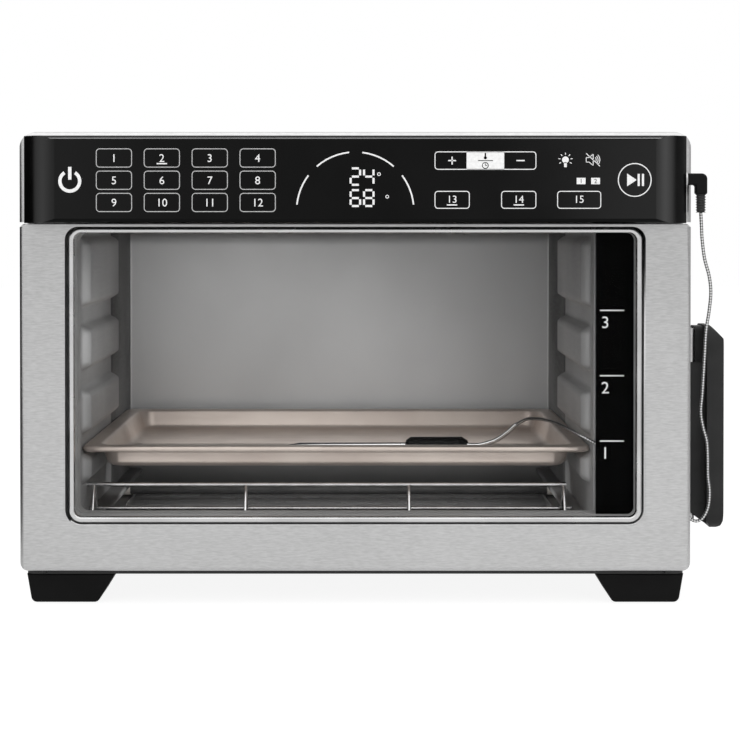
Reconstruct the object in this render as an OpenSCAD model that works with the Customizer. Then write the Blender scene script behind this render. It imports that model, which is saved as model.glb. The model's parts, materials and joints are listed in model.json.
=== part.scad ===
// Countertop air fryer oven with a drop-down door, as an assembly of named sub-parts.
// Millimetres. The front faces -Y, up is +Z and the feet stand on Z = 0.
// Inside the modules Y = 0 is the door's front face; placed() moves all into the shared frame.

/* [Housing] */
// Width across the side panels
body_w = 450; // [440:1:470]
// Height from the floor to the top panel
body_h = 319.5; // [316:0.5:326]
// Depth from the door face to the rear cover's outside
body_d = 372; // [366:1:400]
// Radius of the two upper side corners
corner_r = 12; // [8:1:16]
// Thickness of the folded sheet
sheet = 1.2; // [0.8:0.1:1.4]
// Height of the feet with their pads
foot_h = 20; // [19:0.5:22]
// Width of a foot where it meets the base
foot_w = 60; // [50:1:66]
// Length of a foot from front to back
foot_d = 50; // [40:1:70]
// Reach of the stand-offs behind the rear cover
spacer_reach = 13; // [12:1:25]

/* [Control panel] */
// Height of the header strip behind the control panel
header_h = 60.5; // [57:0.5:62]
// How far the control panel stands in front of the door face
panel_proud = 23; // [20:0.5:25]
// Stainless margin left beside the control panel
panel_margin = 5.5; // [3:0.5:10]
// Wall thickness of the control panel shell
panel_wall = 2.5; // [2:0.1:3]
// Radius that turns the panel front into its ends
panel_end_r = 26; // [25:0.5:30]
// Edge radius along the panel's top and bottom
panel_edge_r = 3; // [1:0.5:4]

/* [Door] */
// Thickness of the door
door_t = 30; // [29:0.5:32]
// Gap between the door's back and the housing front
door_gap = 4; // [3.5:0.1:5]
// Gap between the door's top edge and the header
top_gap = 1.5; // [1.2:0.1:2]
// Width of the window to the outside of its rim
window_w = 384; // [376:1:388]
// Corner radius of the rim's outside
rim_r = 8.7; // [7:0.1:12]
// Width of the rounded rim
rim_w = 4; // [3:0.1:4.4]
// How far the rim stands proud of the door skin
rim_proud = 1.2; // [0.5:0.1:2]
// Set-back of the glass behind the door face
glass_set = 12; // [10:0.5:12.5]
// Thickness of the glass
glass_t = 4; // [3:0.1:4.5]
// Radius of the hinge pins
pin_r = 3; // [2.5:0.1:3.2]
// Wall of the hinge bushes
bush_wall = 1.5; // [1:0.1:1.8]
// Radial running clearance of turning fits
run_fit = 0.05; // [0.02:0.01:0.1]

/* [Cavity] */
// Distance from the middle of the body to the left liner
cav_left = 192; // [185:1:196]
// Distance from the middle of the body to the right liner
cav_right = 165; // [156:1:168]
// Height of an embossed guide above the liner
guide_rise = 7; // [5:0.5:8]
// Distance from one rack level to the next
level_pitch = 44.3; // [43:0.1:46]
// Height of the free slot at each rack level
slot_h = 12; // [10:0.5:13]
// Radius of the heater tubes
heater_r = 4.5; // [3.5:0.1:4.6]
// Radius of the fan impeller
fan_r = 76; // [60:1:80]
// Radius of the fan shaft
shaft_r = 3; // [2.5:0.1:4]

/* [Pan and guard] */
// Depth of the baking pan from rim to underside
pan_h = 15.9; // [12:0.1:17]
// Length of the pan from front to back
pan_d = 270; // [250:1:275]
// Radius of the rolled pan edge
bead_r = 2.2; // [1.8:0.1:3]
// Width of the flat pan rim
pan_rim = 12; // [8:0.5:14]
// Thickness of the pan sheet
pan_t = 1; // [0.8:0.1:1.4]
// Radius of the guard's long wires
wire_r = 1.5; // [1.2:0.1:1.6]
// Height of the guard's top wire above its two low wires
rail_h = 18.5; // [12:0.1:20]

/* [Probe and cable spool] */
// Diameter of the thermometer cable
cord_d = 2.2; // [1.8:0.1:2.4]
// Reach of the cable spool beyond the housing side
spool_reach = 31; // [28:0.5:36]
// Height of the spool's outer flange
spool_h = 142; // [130:1:150]
// Radius of the thermometer grip
grip_r = 6; // [5:0.1:6]
// Radius of the thermometer needle
needle_r = 2; // [1.5:0.1:2]

/* [Hidden] */
$fn = 48;
eps = 0.01;
half_w = body_w / 2;
inner_w = half_w - sheet;
base_z = foot_h;
base_t = 2.5;
base_top = base_z + base_t;
rear_in = body_d - sheet;
shift_x = -spool_reach / 2;
shift_y = -(body_d + spacer_reach - panel_proud) / 2;

header_z = body_h - header_h;
header_ret = 12;
header_edge_r = 4;
panel_hw = half_w - panel_margin;
panel_z0 = header_z - 0.6;
panel_z1 = body_h - 3.4;
panel_side = 11;
panel_drop = panel_end_r - panel_proud + panel_side;
panel_xc = panel_hw - sqrt(panel_end_r * panel_end_r - panel_drop * panel_drop);
panel_mid_z = (panel_z0 + panel_z1) / 2;
board_t = 1.6;
board_y = -6;
post_r0 = 3;
post_in = 39.5;
post_mid = 70;
display_w = 84;
display_h = 36;

door_z0 = base_top + 2.5;
door_z1 = header_z - top_gap;
frame_y = door_t + door_gap;
liner_y0 = frame_y + sheet;
axis_y = 14;
axis_z = door_z0 + 3;
base_front = axis_y + axis_z - door_z0 + 2;
rim_x = window_w / 2;
rim_z0 = door_z0 + 32.8;
rim_gap = 2.3;
top_r = sheet + 0.4;
rim_z1 = door_z1 - sheet - 0.6;
rim_back = 3;
cap_z = rim_z1 + 0.3;
groove_w = 300;
glass_y1 = glass_set + glass_t;
strip_t = 0.3;
strip_x0 = cav_right - 2;
view_x = rim_x - rim_w + 0.3;
view_z0 = rim_z0 + rim_w - 0.3;
view_z1 = rim_z1 - rim_w + 0.3;
arm_t = 3;
arm_x = half_w - 16;
arm_r = pin_r + bush_wall + 2;
ear_x = arm_x - 6;
ear_t = 3;
notch_x = ear_x - 0.5;

cav_z0 = base_top + 13.5;
cav_z1 = header_z + 9;
mouth_z1 = header_z - 2;
cav_y1 = body_d - 32;
liner_t = 1;
rest_z = base_top + 76.2;
guide_y0 = frame_y + 16;
guide_d = 164;
guide_y1 = guide_y0 + guide_d;
ledge_top = rest_z - 46.6;
ledge_w = 13;
ledge_y1 = cav_y1 - 10;
low_band = 22;
fan_x = (cav_right - cav_left) / 2;
fan_y = (liner_y0 + cav_y1) / 2;
shroud_z = cav_z1 + liner_t;
shroud_h = 23;
shroud_r = fan_r + 12;
motor_z = shroud_z + shroud_h;
motor_h = 16;
motor_r = 30;
motor_lug = [38, 20];
fan_h = 14;
fan_hub = 12;
vane_l = 40;
shaft_z0 = shroud_z + 8;
shaft_z1 = motor_z + motor_h + 5;
guard_y0 = frame_y + 38.4;
guard_d = 19.4;
cap_r = heater_r + 0.5;
cap_l = 10;
upper_y = [liner_y0 + 50, cav_y1 - 49];
lower_y = [guard_y0 + guard_d / 2, cav_y1 - 70];
upper_z = cav_z1 - cap_r - 0.5;
lower_z = cav_z0 + cap_r + 2;
lamp_x = cav_right - 49;
lamp_y = fan_y - 40;
sensor_y = fan_y + 55;
lamp_r = 14;
probe_hole_r = 3;

relay_h = 28;
power_off = 3.1;
power_room = inner_w - cav_right - liner_t;
power_x = inner_w - (power_room - relay_h) / 2 - power_off;
power_y = 115;
power_z = base_top + 50;
power_l = 150;
power_h = 95;
power_edge = 8;

spacer_x = 120;
spacer_z = base_top + 60;
spacer_h = 60;
spacer_r = 9;
bumper_in = 13;
bumper_low = 115;
bumper_top = 14;
bumper_r = 4;

pan_x0 = -cav_left + 1.5;
pan_x1 = cav_right - 1.5;
pan_y0 = frame_y + 14;
pan_y1 = pan_y0 + pan_d;
pan_top = rest_z + 0.2 + 2 * bead_r;
pan_low = pan_top - pan_h;
pan_floor = pan_low + pan_t;
pan_rc = 10;
wall_rc = 13;
pan_flare = 5;
guard_x0 = -cav_left + 0.4;
guard_x1 = cav_right - ledge_w + 3;
guard_z = ledge_top + 0.2 + wire_r;
loop_r = wire_r - 0.3;
loop_in = [5.6, 6.6];
loop_mid = [64.4, 51.7];
loop_x = [guard_x0 + loop_in[0], fan_x - loop_mid[0], fan_x + loop_mid[1], guard_x1 - loop_in[1]];

arm_w = 24;
spool_y = 73;
spool_x1 = half_w + spool_reach;
core_x1 = spool_x1 - 11.6;
steel_x1 = core_x1 - 6.6;
spool_z0 = door_z0 + 20;
spool_z1 = spool_z0 + spool_h;
core_z0 = spool_z0 + 11;
core_z1 = spool_z1 - 24.7;
slide_fit = 0.3;
jack_y = -5.5;
jack_z = panel_mid_z + 0.25;
jack_r = 4.2;
plug_x = panel_hw + 10.5;
plug_z = jack_z - 10;
plug_half = 4.4;
boot_l = 12;
grip_l = 46;
needle_l = 95;
probe_az = -20;
probe_el = 2.4;
probe_at = [38, 128, pan_floor + 0.5 + grip_r];
probe_dir = [cos(probe_az) * cos(probe_el), sin(probe_az) * cos(probe_el), sin(probe_el)];
grip_end = probe_at + grip_l * probe_dir;
cord_start = [plug_x, jack_y, plug_z - boot_l];
gap_y = door_t + door_gap / 2;
side_x = half_w;
over_z = pan_top;
tube_route = [
  grip_end,
  grip_end + 10 * probe_dir,
  [102, 104.5, over_z - 2],
  [110, 101, over_z + 4],
  [116, 98, over_z + 10]
];
cord_route = [
  cord_start,
  [side_x + 5.5, -5.5, 256],
  [side_x + 6, -5, 248],
  [side_x + 8, -3, 235],
  [side_x + 11.5, -1, 223],
  [side_x + 13, 1, 212],
  [side_x + 12.5, 4, 200],
  [side_x + 11, 7, 186],
  [side_x + 10.5, 10, 168],
  [side_x + 10, 15, 144],
  [side_x + 9.5, 18, 130],
  [side_x + 11.5, 19, 119],
  [side_x + 14, 20, 110],
  [side_x + 15, 22, 98],
  [side_x + 15.5, 24, 86],
  [side_x + 17, 26, 75],
  [side_x + 16.5, 29, 64],
  [side_x + 13, 31, 56],
  [side_x + 8, gap_y, 54],
  [side_x + 2, gap_y, 58],
  [side_x - 10, gap_y, 68],
  [side_x - 28, gap_y, 84],
  [side_x - 46, gap_y, 99],
  [163, gap_y, over_z + 5],
  [155, gap_y + 3, over_z + 9],
  [147, 46, over_z + 13],
  [139, 62, over_z + 15.5],
  [131, 78, over_z + 16],
  [123, 91, over_z + 14.5],
  [116, 98, over_z + 10]
];

steel = [0.74, 0.74, 0.75];
black = [0.1, 0.1, 0.11];
grey = [0.55, 0.56, 0.57];
white = [0.9, 0.89, 0.85];
green = [0.1, 0.35, 0.2];

// Moves a piece from the door-face frame into the shared frame
module placed() {
  translate([shift_x, shift_y, 0]) children();
}

// Box between two corners
module block(a, b) {
  translate(a) cube(b - a);
}

// Outline in X and Z, made solid from y0 to y1
module along_y(y0, y1) {
  translate([0, y1, 0]) rotate([90, 0, 0]) linear_extrude(y1 - y0) children();
}

// Outline in Y and Z, made solid from x0 to x1
module along_x(x0, x1) {
  translate([x0, 0, 0]) rotate([90, 0, 90]) linear_extrude(x1 - x0) children();
}

// Outline in X and Y, made solid from z0 to z1
module along_z(z0, z1) {
  translate([0, 0, z0]) linear_extrude(z1 - z0) children();
}

// What a round corner takes away
module corner_cut(x, y, r, sx, sy) {
  difference() {
    translate([sx > 0 ? x - 1 : x - r, sy > 0 ? y - 1 : y - r]) square(r + 1);
    translate([x + sx * r, y + sy * r]) circle(r);
  }
}

// Rectangle with four corner radii, from lower left round to upper left
module rrect(a, b, r) {
  difference() {
    translate(a) square(b - a);
    if (r[0] > 0) corner_cut(a[0], a[1], r[0], 1, 1);
    if (r[1] > 0) corner_cut(b[0], a[1], r[1], -1, 1);
    if (r[2] > 0) corner_cut(b[0], b[1], r[2], -1, -1);
    if (r[3] > 0) corner_cut(a[0], b[1], r[3], 1, -1);
  }
}

// Profile carried round a rounded rectangle: x outward, y up
module round_sweep(x0, x1, y0, y1, rc) {
  hx = (x1 - x0) / 2;
  hy = (y1 - y0) / 2;
  translate([x0 + hx, y0 + hy, 0]) {
    for (k = [0:3]) {
      reach = k % 2 == 0 ? hx : hy;
      run = 2 * ((k % 2 == 0 ? hy : hx) - rc);
      rotate([0, 0, 90 * k])
        translate([reach, run / 2, 0]) rotate([90, 0, 0]) linear_extrude(run) children();
      rotate([0, 0, 90 * k])
        translate([reach - rc, run / 2, 0])
          rotate_extrude(angle = 90) translate([rc, 0]) children();
    }
  }
}

// Round bar between two points
module rod(p, q, r) {
  d = q - p;
  len = norm(d);
  translate(p)
    rotate([0, acos(d[2] / len), atan2(d[1], d[0])]) cylinder(r = r, h = len);
}

// Smooth curve through the route points
function curve(a, b, c, d, t) =
  0.5 * (2 * b + (c - a) * t + (2 * a - 5 * b + 4 * c - d) * t * t
    + (3 * b - a - 3 * c + d) * t * t * t);
function at(p, i) = p[max(0, min(len(p) - 1, i))];
function smooth(p, n) = [
  for (i = [0:len(p) - 2], k = [0:n - 1]) curve(at(p, i - 1), p[i], p[i + 1], at(p, i + 2), k / n),
  p[len(p) - 1]
];
function unit(v) = v / norm(v);

// Points of a round corner at q, on the way from p to r
function fillet(p, q, r, radius, n) =
  let (
    u = unit(p - q),
    v = unit(r - q),
    half = acos(u * v) / 2,
    c = q + unit(u + v) * radius / sin(half),
    a = q + u * radius / tan(half) - c,
    b = q + v * radius / tan(half) - c,
    sweep = acos(unit(a) * unit(b))
  )
  [for (i = [0:n]) c + (a * sin((1 - i / n) * sweep) + b * sin(i / n * sweep)) / sin(sweep)];

// Round tube along a route
module tube(route, r, sides, n) {
  p = smooth(route, n);
  m = len(p);
  rings = [
    for (i = [0:m - 1])
      let (
        t = unit(at(p, i + 1) - at(p, i - 1)),
        u = unit(cross(t, [0, 1, 0.2])),
        v = cross(t, u)
      )
      for (k = [0:sides - 1]) p[i] + r * (cos(360 * k / sides) * u + sin(360 * k / sides) * v)
  ];
  walls = [
    for (i = [0:m - 2], k = [0:sides - 1])
      let (j = (k + 1) % sides)
      [i * sides + k, (i + 1) * sides + k, (i + 1) * sides + j, i * sides + j]
  ];
  first = [for (k = [0:sides - 1]) k];
  last = [for (k = [0:sides - 1]) (m - 1) * sides + sides - 1 - k];
  polyhedron(points = rings, faces = concat(walls, [first, last]));
}

// Housing

module outer_wrap() {
  color(steel) placed() difference() {
    along_y(header_ret, rear_in)
      rrect([-half_w, base_z + 0.5], [half_w, body_h], [0, 0, corner_r, corner_r]);
    along_y(header_ret - 1, rear_in + 1)
      rrect([-inner_w, 0], [inner_w, body_h - sheet],
        [0, 0, corner_r - sheet, corner_r - sheet]);
    block([-half_w - 1, header_ret - 1, 0], [half_w + 1, frame_y, header_z]);
    along_x(-half_w - 1, half_w + 1) side_vents();
  }
}

module side_vents() {
  for (row = [0:1], i = [0:8])
    translate([body_d - 150 + 13 * i, header_z - 62 + 40 * row])
      rrect([0, 0], [4.5, 32], [2, 2, 2, 2]);
}

module header_fascia() {
  color(steel) placed() {
    difference() {
      header_solid(0);
      header_solid(sheet);
      along_y(-1, sheet + 1)
        rrect([-panel_xc + 6, panel_z0 + 8], [panel_xc - 6, panel_z1 - 8], [4, 4, 4, 4]);
    }
    block([-inner_w, sheet, header_z], [inner_w, frame_y, header_z + sheet]);
  }
}

module header_solid(t) {
  r = header_edge_r - t;
  back = header_ret + (t > 0 ? 1 : 0);
  intersection() {
    along_y(t, back)
      rrect([-half_w + t, header_z - (t > 0 ? 1 : 0)], [half_w - t, body_h - t],
        [0, 0, corner_r - t, corner_r - t]);
    along_z(header_z - 2, body_h + 1)
      rrect([-half_w + t, t], [half_w - t, back], [r, r, 0, 0]);
    along_x(-half_w, half_w)
      rrect([t, header_z - 2], [back, body_h - t], [0, 0, 0, r]);
  }
}

module front_frame() {
  color(grey) placed() along_y(frame_y, liner_y0) difference() {
    translate([-inner_w, base_top]) square([2 * inner_w, cav_z1 - base_top]);
    rrect([-cav_left, cav_z0], [cav_right, mouth_z1], [2, 2, 3, 3]);
  }
}

module base_pan() {
  color(black) placed() difference() {
    along_z(base_z, base_top)
      rrect([-inner_w + slide_fit, base_front], [inner_w - slide_fit, rear_in], [6, 6, 0, 0]);
    for (s = [-1, 1], i = [0:6])
      along_z(base_z - 1, base_top + 1)
        translate([s * 100 - 30 + 10 * i, body_d / 2 - 40])
          rrect([-2, 0], [2, 80], [1.9, 1.9, 1.9, 1.9]);
  }
}

module rear_cover() {
  color(black) placed() along_y(rear_in, body_d) difference() {
    rrect([-half_w, base_z], [half_w, body_h], [0, 0, corner_r, corner_r]);
    for (col = [0:3], i = [0:7])
      translate([-165 + 90 * col, header_z - 82 + 12 * i])
        rrect([0, 0], [60, 4.5], [2, 2, 2, 2]);
    translate([gland_x, gland_z]) circle(gland_r + 0.1);
    for (p = screw_spots) translate(p) circle(screw_r + 0.1);
  }
}

gland_x = half_w - 65;
gland_z = base_top + 35;
gland_r = 6;
gland_bore = 3.6;
screw_r = 1.8;
screw_spots = [
  for (s = [-1, 1], z = [base_top + 12, (base_top + body_h) / 2, body_h - 14]) [s * (half_w - 14), z]
];

module rear_screws() {
  color(steel) placed() for (p = screw_spots) {
    along_y(body_d, body_d + 2) translate(p) circle(3.6);
    along_y(body_d - 8, body_d) translate(p) circle(screw_r);
  }
}

module rear_spacers() {
  color(black) placed() for (s = [-1, 1])
    along_y(body_d, body_d + spacer_reach)
      rrect([s * spacer_x - spacer_r, spacer_z], [s * spacer_x + spacer_r, spacer_z + spacer_h],
        [spacer_r, spacer_r, spacer_r, spacer_r]);
}

module cord_gland() {
  color(black) placed() difference() {
    union() {
      along_y(body_d, body_d + 10) translate([gland_x, gland_z]) circle(gland_r + 4);
      along_y(body_d - 10, body_d) translate([gland_x, gland_z]) circle(gland_r);
    }
    along_y(body_d - 11, body_d + 11) translate([gland_x, gland_z]) circle(gland_bore);
  }
}

// Feet

pad_t = 0.6;
foot_corner = 2.5;

module foot(y0) {
  x0 = -half_w + 1.8;
  p = [[x0 + 3.3, pad_t], [x0 + foot_w - 12, pad_t], [x0 + foot_w, foot_h], [x0, foot_h]];
  color(black) placed() intersection() {
    along_y(y0, y0 + foot_d)
      polygon(concat(fillet(p[3], p[0], p[1], foot_corner, 6), fillet(p[0], p[1], p[2], foot_corner, 6),
        [p[2], p[3]]));
    along_z(0, foot_h + 1)
      rrect([x0, y0], [x0 + foot_w, y0 + foot_d], [5, 5, 5, 5]);
    along_x(x0 - 1, x0 + foot_w + 1)
      rrect([y0, pad_t], [y0 + foot_d, foot_h], [2, 2, 0, 0]);
  }
}

module foot_pads() {
  color(grey) placed() for (s = [0, 1], y = [base_front, rear_in - foot_d])
    mirror([s, 0, 0])
      along_z(0, pad_t)
        rrect([-half_w + 11, y + 6], [-half_w + foot_w - 17, y + foot_d - 6], [5, 5, 5, 5]);
}

module foot_front_left() {
  foot(base_front);
}

module foot_rear_left() {
  foot(rear_in - foot_d);
}

module foot_front_right() {
  translate([2 * shift_x, 0, 0]) mirror([1, 0, 0]) foot(base_front);
}

module foot_rear_right() {
  translate([2 * shift_x, 0, 0]) mirror([1, 0, 0]) foot(rear_in - foot_d);
}

// Cavity

guide_z = [
  [rest_z - low_band, rest_z],
  for (k = [0:1]) [rest_z + level_pitch * k + slot_h, rest_z + level_pitch * (k + 1)],
  [rest_z + 2 * level_pitch + slot_h, mouth_z1 - 8]
];

// Liner wall at x = 0 with the cavity on its +X side
module liner_wall() {
  block([-liner_t, liner_y0, cav_z0], [0, cav_y1 + liner_t, cav_z1]);
  for (g = guide_z) difference() {
    along_x(-eps, guide_rise) rrect([guide_y0, g[0]], [guide_y1, g[1]], [9, 9, 9, 9]);
    along_x(-1, guide_rise - liner_t)
      rrect([guide_y0 + 1, g[0] + 1], [guide_y1 - 1, g[1] - 1], [8, 8, 8, 8]);
  }
  block([-eps, guide_y0, ledge_top - 4], [ledge_w, ledge_y1, ledge_top]);
}

module liner_left() {
  color(grey) placed() translate([-cav_left, 0, 0]) liner_wall();
}

module liner_right() {
  color(grey) placed() translate([cav_right, 0, 0]) mirror([1, 0, 0]) liner_wall();
}

module liner_back() {
  color(grey) placed()
    block([-cav_left, cav_y1, cav_z0], [cav_right, cav_y1 + liner_t, cav_z1]);
}

module liner_floor() {
  color(grey) placed()
    block([-cav_left - liner_t, liner_y0, cav_z0 - liner_t],
      [cav_right + liner_t, cav_y1 + liner_t, cav_z0]);
}

module liner_top() {
  color(grey) placed() along_z(cav_z1, cav_z1 + liner_t) difference() {
    translate([-cav_left - liner_t, liner_y0])
      square([cav_left + cav_right + 2 * liner_t, cav_y1 + liner_t - liner_y0]);
    for (ring = [1:4], i = [0:6 * ring - 1])
      translate([fan_x, fan_y])
        rotate(360 * i / (6 * ring)) translate([fan_r / 4.8 * ring, 0]) circle(4);
    translate([lamp_x, lamp_y]) circle(lamp_r);
    translate([lamp_x, sensor_y]) circle(probe_hole_r);
  }
}

tray_lip = 8;

module crumb_tray() {
  x0 = -cav_left + cap_l + 2;
  x1 = cav_right - cap_l - 2;
  color(grey) placed() {
    block([x0, liner_y0 + 3, cav_z0], [x1, cav_y1 - 4, cav_z0 + 0.8]);
    block([x0, liner_y0 + 3, cav_z0], [x1, liner_y0 + 4, cav_z0 + tray_lip]);
    rod([x0, liner_y0 + 3.5, cav_z0 + tray_lip], [x1, liner_y0 + 3.5, cav_z0 + tray_lip], 1.2);
    for (x = [x0, x1 - 0.8])
      block([x, liner_y0 + 3, cav_z0], [x + 0.8, cav_y1 - 4, lower_z - heater_r - 0.5]);
  }
}

module heater_row(ys, z) {
  for (y = ys)
    rod([-cav_left + cap_l, y, z], [cav_right - cap_l, y, z], heater_r);
}

module upper_heaters() {
  color(white) placed() heater_row(upper_y, upper_z);
}

module lower_heaters() {
  color(white) placed() heater_row(lower_y, lower_z);
}

module cap_row(ys, z) {
  for (y = ys) {
    rod([-cav_left, y, z], [-cav_left + cap_l, y, z], cap_r);
    rod([cav_right - cap_l, y, z], [cav_right, y, z], cap_r);
  }
}

module heater_caps() {
  color(white) placed() {
    cap_row(upper_y, upper_z);
    cap_row(lower_y, lower_z);
  }
}

// Fan, lamp and sensor

module at_fan() {
  translate([fan_x, fan_y, 0]) children();
}

module fan_shroud() {
  color(grey) placed() at_fan() difference() {
    union() {
      translate([0, 0, shroud_z]) cylinder(r = shroud_r, h = shroud_h);
      translate([0, 0, shroud_z]) cylinder(r = shroud_r + 7, h = 1);
    }
    translate([0, 0, shroud_z - 1]) cylinder(r = shroud_r - sheet, h = shroud_h + 1 - sheet);
    cylinder(r = shaft_r + 3, h = body_h);
  }
}

module fan_motor() {
  color(steel) placed() at_fan() difference() {
    union() {
      translate([0, 0, motor_z]) cylinder(r = motor_r, h = motor_h);
      block([-motor_lug[0], -motor_lug[1], motor_z], [motor_lug[0], motor_lug[1], motor_z + motor_h - 5]);
    }
    cylinder(r = shaft_r + run_fit, h = body_h);
  }
}

module motor_shaft() {
  color(steel) placed() at_fan()
    translate([0, 0, shaft_z0]) cylinder(r = shaft_r, h = shaft_z1 - shaft_z0);
}

module fan_impeller() {
  z0 = shroud_z + 4;
  z1 = z0 + fan_h;
  color(steel) placed() at_fan() difference() {
    union() {
      translate([0, 0, z0]) cylinder(r = fan_hub, h = fan_h);
      translate([0, 0, z1 - 1.2]) cylinder(r = fan_r, h = 1.2);
      for (i = [0:19])
        rotate([0, 0, 18 * i]) translate([fan_r - 4, 0, 0]) rotate([0, 0, 25])
          block([-vane_l, -0.6, z0], [0, 0.6, z1 - 0.6]);
    }
    translate([0, 0, shaft_z0]) cylinder(r = shaft_r + 0.02, h = z1);
  }
}

module cooling_blade() {
  z0 = motor_z + motor_h + 1;
  color(grey) placed() at_fan() difference() {
    union() {
      translate([0, 0, z0]) cylinder(r = 8, h = shaft_z1 - z0 + 1);
      for (i = [0:5])
        rotate([0, 0, 60 * i]) translate([17, 0, z0 + 2.4]) rotate([20, 0, 0])
          cube([24, 9, 0.8], center = true);
    }
    translate([0, 0, z0 - 1]) cylinder(r = shaft_r + 0.02, h = shaft_z1 - z0 + 1);
  }
}

module lamp_lens() {
  color(white) placed() translate([lamp_x, lamp_y, 0]) {
    translate([0, 0, cav_z1 - 2.5]) cylinder(r1 = lamp_r - 3, r2 = lamp_r + 3, h = 2.5);
    translate([0, 0, cav_z1]) cylinder(r = lamp_r - 0.5, h = 5);
  }
}

module lamp_holder() {
  color(white) placed() translate([lamp_x, lamp_y, cav_z1 + 5]) {
    cylinder(r = lamp_r - 2, h = 14);
    translate([0, 0, 14]) cylinder(r = lamp_r - 6, h = 10);
  }
}

module temperature_sensor() {
  color(steel) placed() translate([lamp_x, sensor_y, 0]) {
    translate([0, 0, cav_z1 - 10]) cylinder(r = probe_hole_r - 0.4, h = 28);
    translate([0, 0, cav_z1 + liner_t]) cylinder(r = probe_hole_r + 4, h = 2);
  }
}

// Control panel and electrics

module panel_plan(inset, back) {
  w = panel_hw - inset;
  front = -panel_proud + inset;
  intersection() {
    translate([-w, front]) square([2 * w, back - front]);
    union() {
      translate([-panel_xc, front]) square([2 * panel_xc, back - front]);
      for (s = [-1, 1])
        translate([s * panel_xc, panel_end_r - panel_proud]) circle(panel_end_r - inset);
      translate([-w, -panel_side]) square([2 * w, panel_side + back]);
    }
  }
}

module control_panel() {
  er = panel_edge_r;
  color(black) placed() {
    difference() {
      intersection() {
        along_z(panel_z0, panel_z1) panel_plan(0, 0);
        along_x(-half_w, half_w)
          rrect([-panel_proud, panel_z0], [1, panel_z1], [er, 0, 0, er]);
      }
      along_z(panel_z0 + panel_wall, panel_z1 - panel_wall) panel_plan(panel_wall, 1);
      along_x(panel_hw - 6, half_w) translate([jack_y, jack_z]) circle(jack_r + 0.1);
    }
    for (s = [-1, 1], x = [panel_hw - post_in, post_mid])
      along_y(-panel_proud + panel_wall - eps, board_y) translate([s * x, panel_mid_z]) circle(post_r0);
  }
}

module control_board() {
  color(green) placed()
    block([-panel_xc + 6, board_y, panel_z0 + 8],
      [panel_xc - 6, board_y + board_t, panel_z1 - 8]);
}

module display_module() {
  color(black) placed()
    block([-display_w / 2, -panel_proud + panel_wall + 0.2, panel_mid_z - display_h / 2],
      [display_w / 2, board_y, panel_mid_z + display_h / 2]);
}

module probe_jack() {
  color(steel) placed() difference() {
    union() {
      along_x(panel_hw - 16, panel_hw) translate([jack_y, jack_z]) circle(jack_r);
      along_x(panel_hw, panel_hw + 1.2) translate([jack_y, jack_z]) circle(jack_r + 0.8);
    }
    along_x(panel_hw - 13, panel_hw + 2) translate([jack_y, jack_z]) circle(2.6);
  }
}

module power_board() {
  x1 = power_x;
  y0 = power_y;
  z0 = power_z;
  e = power_edge;
  color(green) placed() {
    block([x1 - board_t, y0, z0], [x1, y0 + power_l, z0 + power_h]);
    for (y = [y0 + e, y0 + power_l - e], z = [z0 + e, z0 + power_h - e])
      along_x(x1 - eps, inner_w) translate([y, z]) circle(post_r0);
    block([x1 - relay_h, y0 + 12, z0 + 12], [x1 - 1, y0 + 48, z0 + 44]);
    for (i = [0:2])
      block([x1 - 17, y0 + 60 + 28 * i, z0 + 55], [x1 - 1, y0 + 80 + 28 * i, z0 + 84]);
    for (i = [0:1])
      along_x(x1 - 26, x1 - 1) translate([y0 + 70 + 26 * i, z0 + 24]) circle(9);
    for (i = [0:4])
      block([x1 - 24, y0 + 116 + 5 * i, z0 + 8], [x1 - 1, y0 + 118 + 5 * i, z0 + 40]);
  }
}

// Hinges

module hinge_bracket(x0) {
  placed() difference() {
    union() {
      along_x(x0, x0 + arm_t) {
        translate([axis_y, axis_z]) circle(arm_r);
        translate([axis_y, axis_z - 4]) square([frame_y - axis_y, 4 + arm_r]);
      }
      block([x0 - 4, frame_y - 1.6, axis_z - 4], [x0 + arm_t + 5, frame_y, axis_z + 24]);
    }
    along_x(x0 - 1, x0 + arm_t + 1) translate([axis_y, axis_z]) circle(pin_r + bush_wall + 0.02);
  }
}

module hinge_bush(x0) {
  placed() along_x(x0, x0 + arm_t) translate([axis_y, axis_z]) difference() {
    circle(pin_r + bush_wall);
    circle(pin_r + run_fit);
  }
}

// Pin with the leaf that is welded to the door's inner frame
module hinge_pin() {
  block([ear_x - ear_t, axis_y - 7, door_z0 + 2], [ear_x, door_t - sheet, axis_z + 16]);
  along_x(ear_x - eps, arm_x + arm_t + 4) translate([axis_y, axis_z]) circle(pin_r);
  along_x(ear_x - eps, ear_x + 2) translate([axis_y, axis_z]) circle(pin_r + 1.5);
}

module hinge_bracket_left() {
  color(steel) hinge_bracket(-arm_x - arm_t);
}

module hinge_bracket_right() {
  color(steel) hinge_bracket(arm_x);
}

module hinge_bush_left() {
  color(black) hinge_bush(-arm_x - arm_t);
}

module hinge_bush_right() {
  color(black) hinge_bush(arm_x);
}

module hinge_pin_left() {
  color(steel) placed() mirror([1, 0, 0]) hinge_pin();
}

module hinge_pin_right() {
  color(steel) placed() hinge_pin();
}

// Door

module door_solid(t) {
  back = door_t - sheet + (t > 0 ? 1 : 0);
  intersection() {
    along_y(t, back)
      rrect([-half_w + t, door_z0 + t], [half_w - t, door_z1 - t], [7 - t, 7 - t, 3 - t, 3 - t]);
    along_z(door_z0 - 1, door_z1 + 1)
      rrect([-half_w + t, t], [half_w - t, back], [4 - t, 4 - t, 0, 0]);
    along_x(-half_w, half_w)
      rrect([t, door_z0 + t], [back, door_z1 - t], [3 - t, 0, 0, top_r - t]);
  }
}

module door_shell() {
  difference() {
    door_solid(0);
    door_solid(sheet);
  }
}

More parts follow.
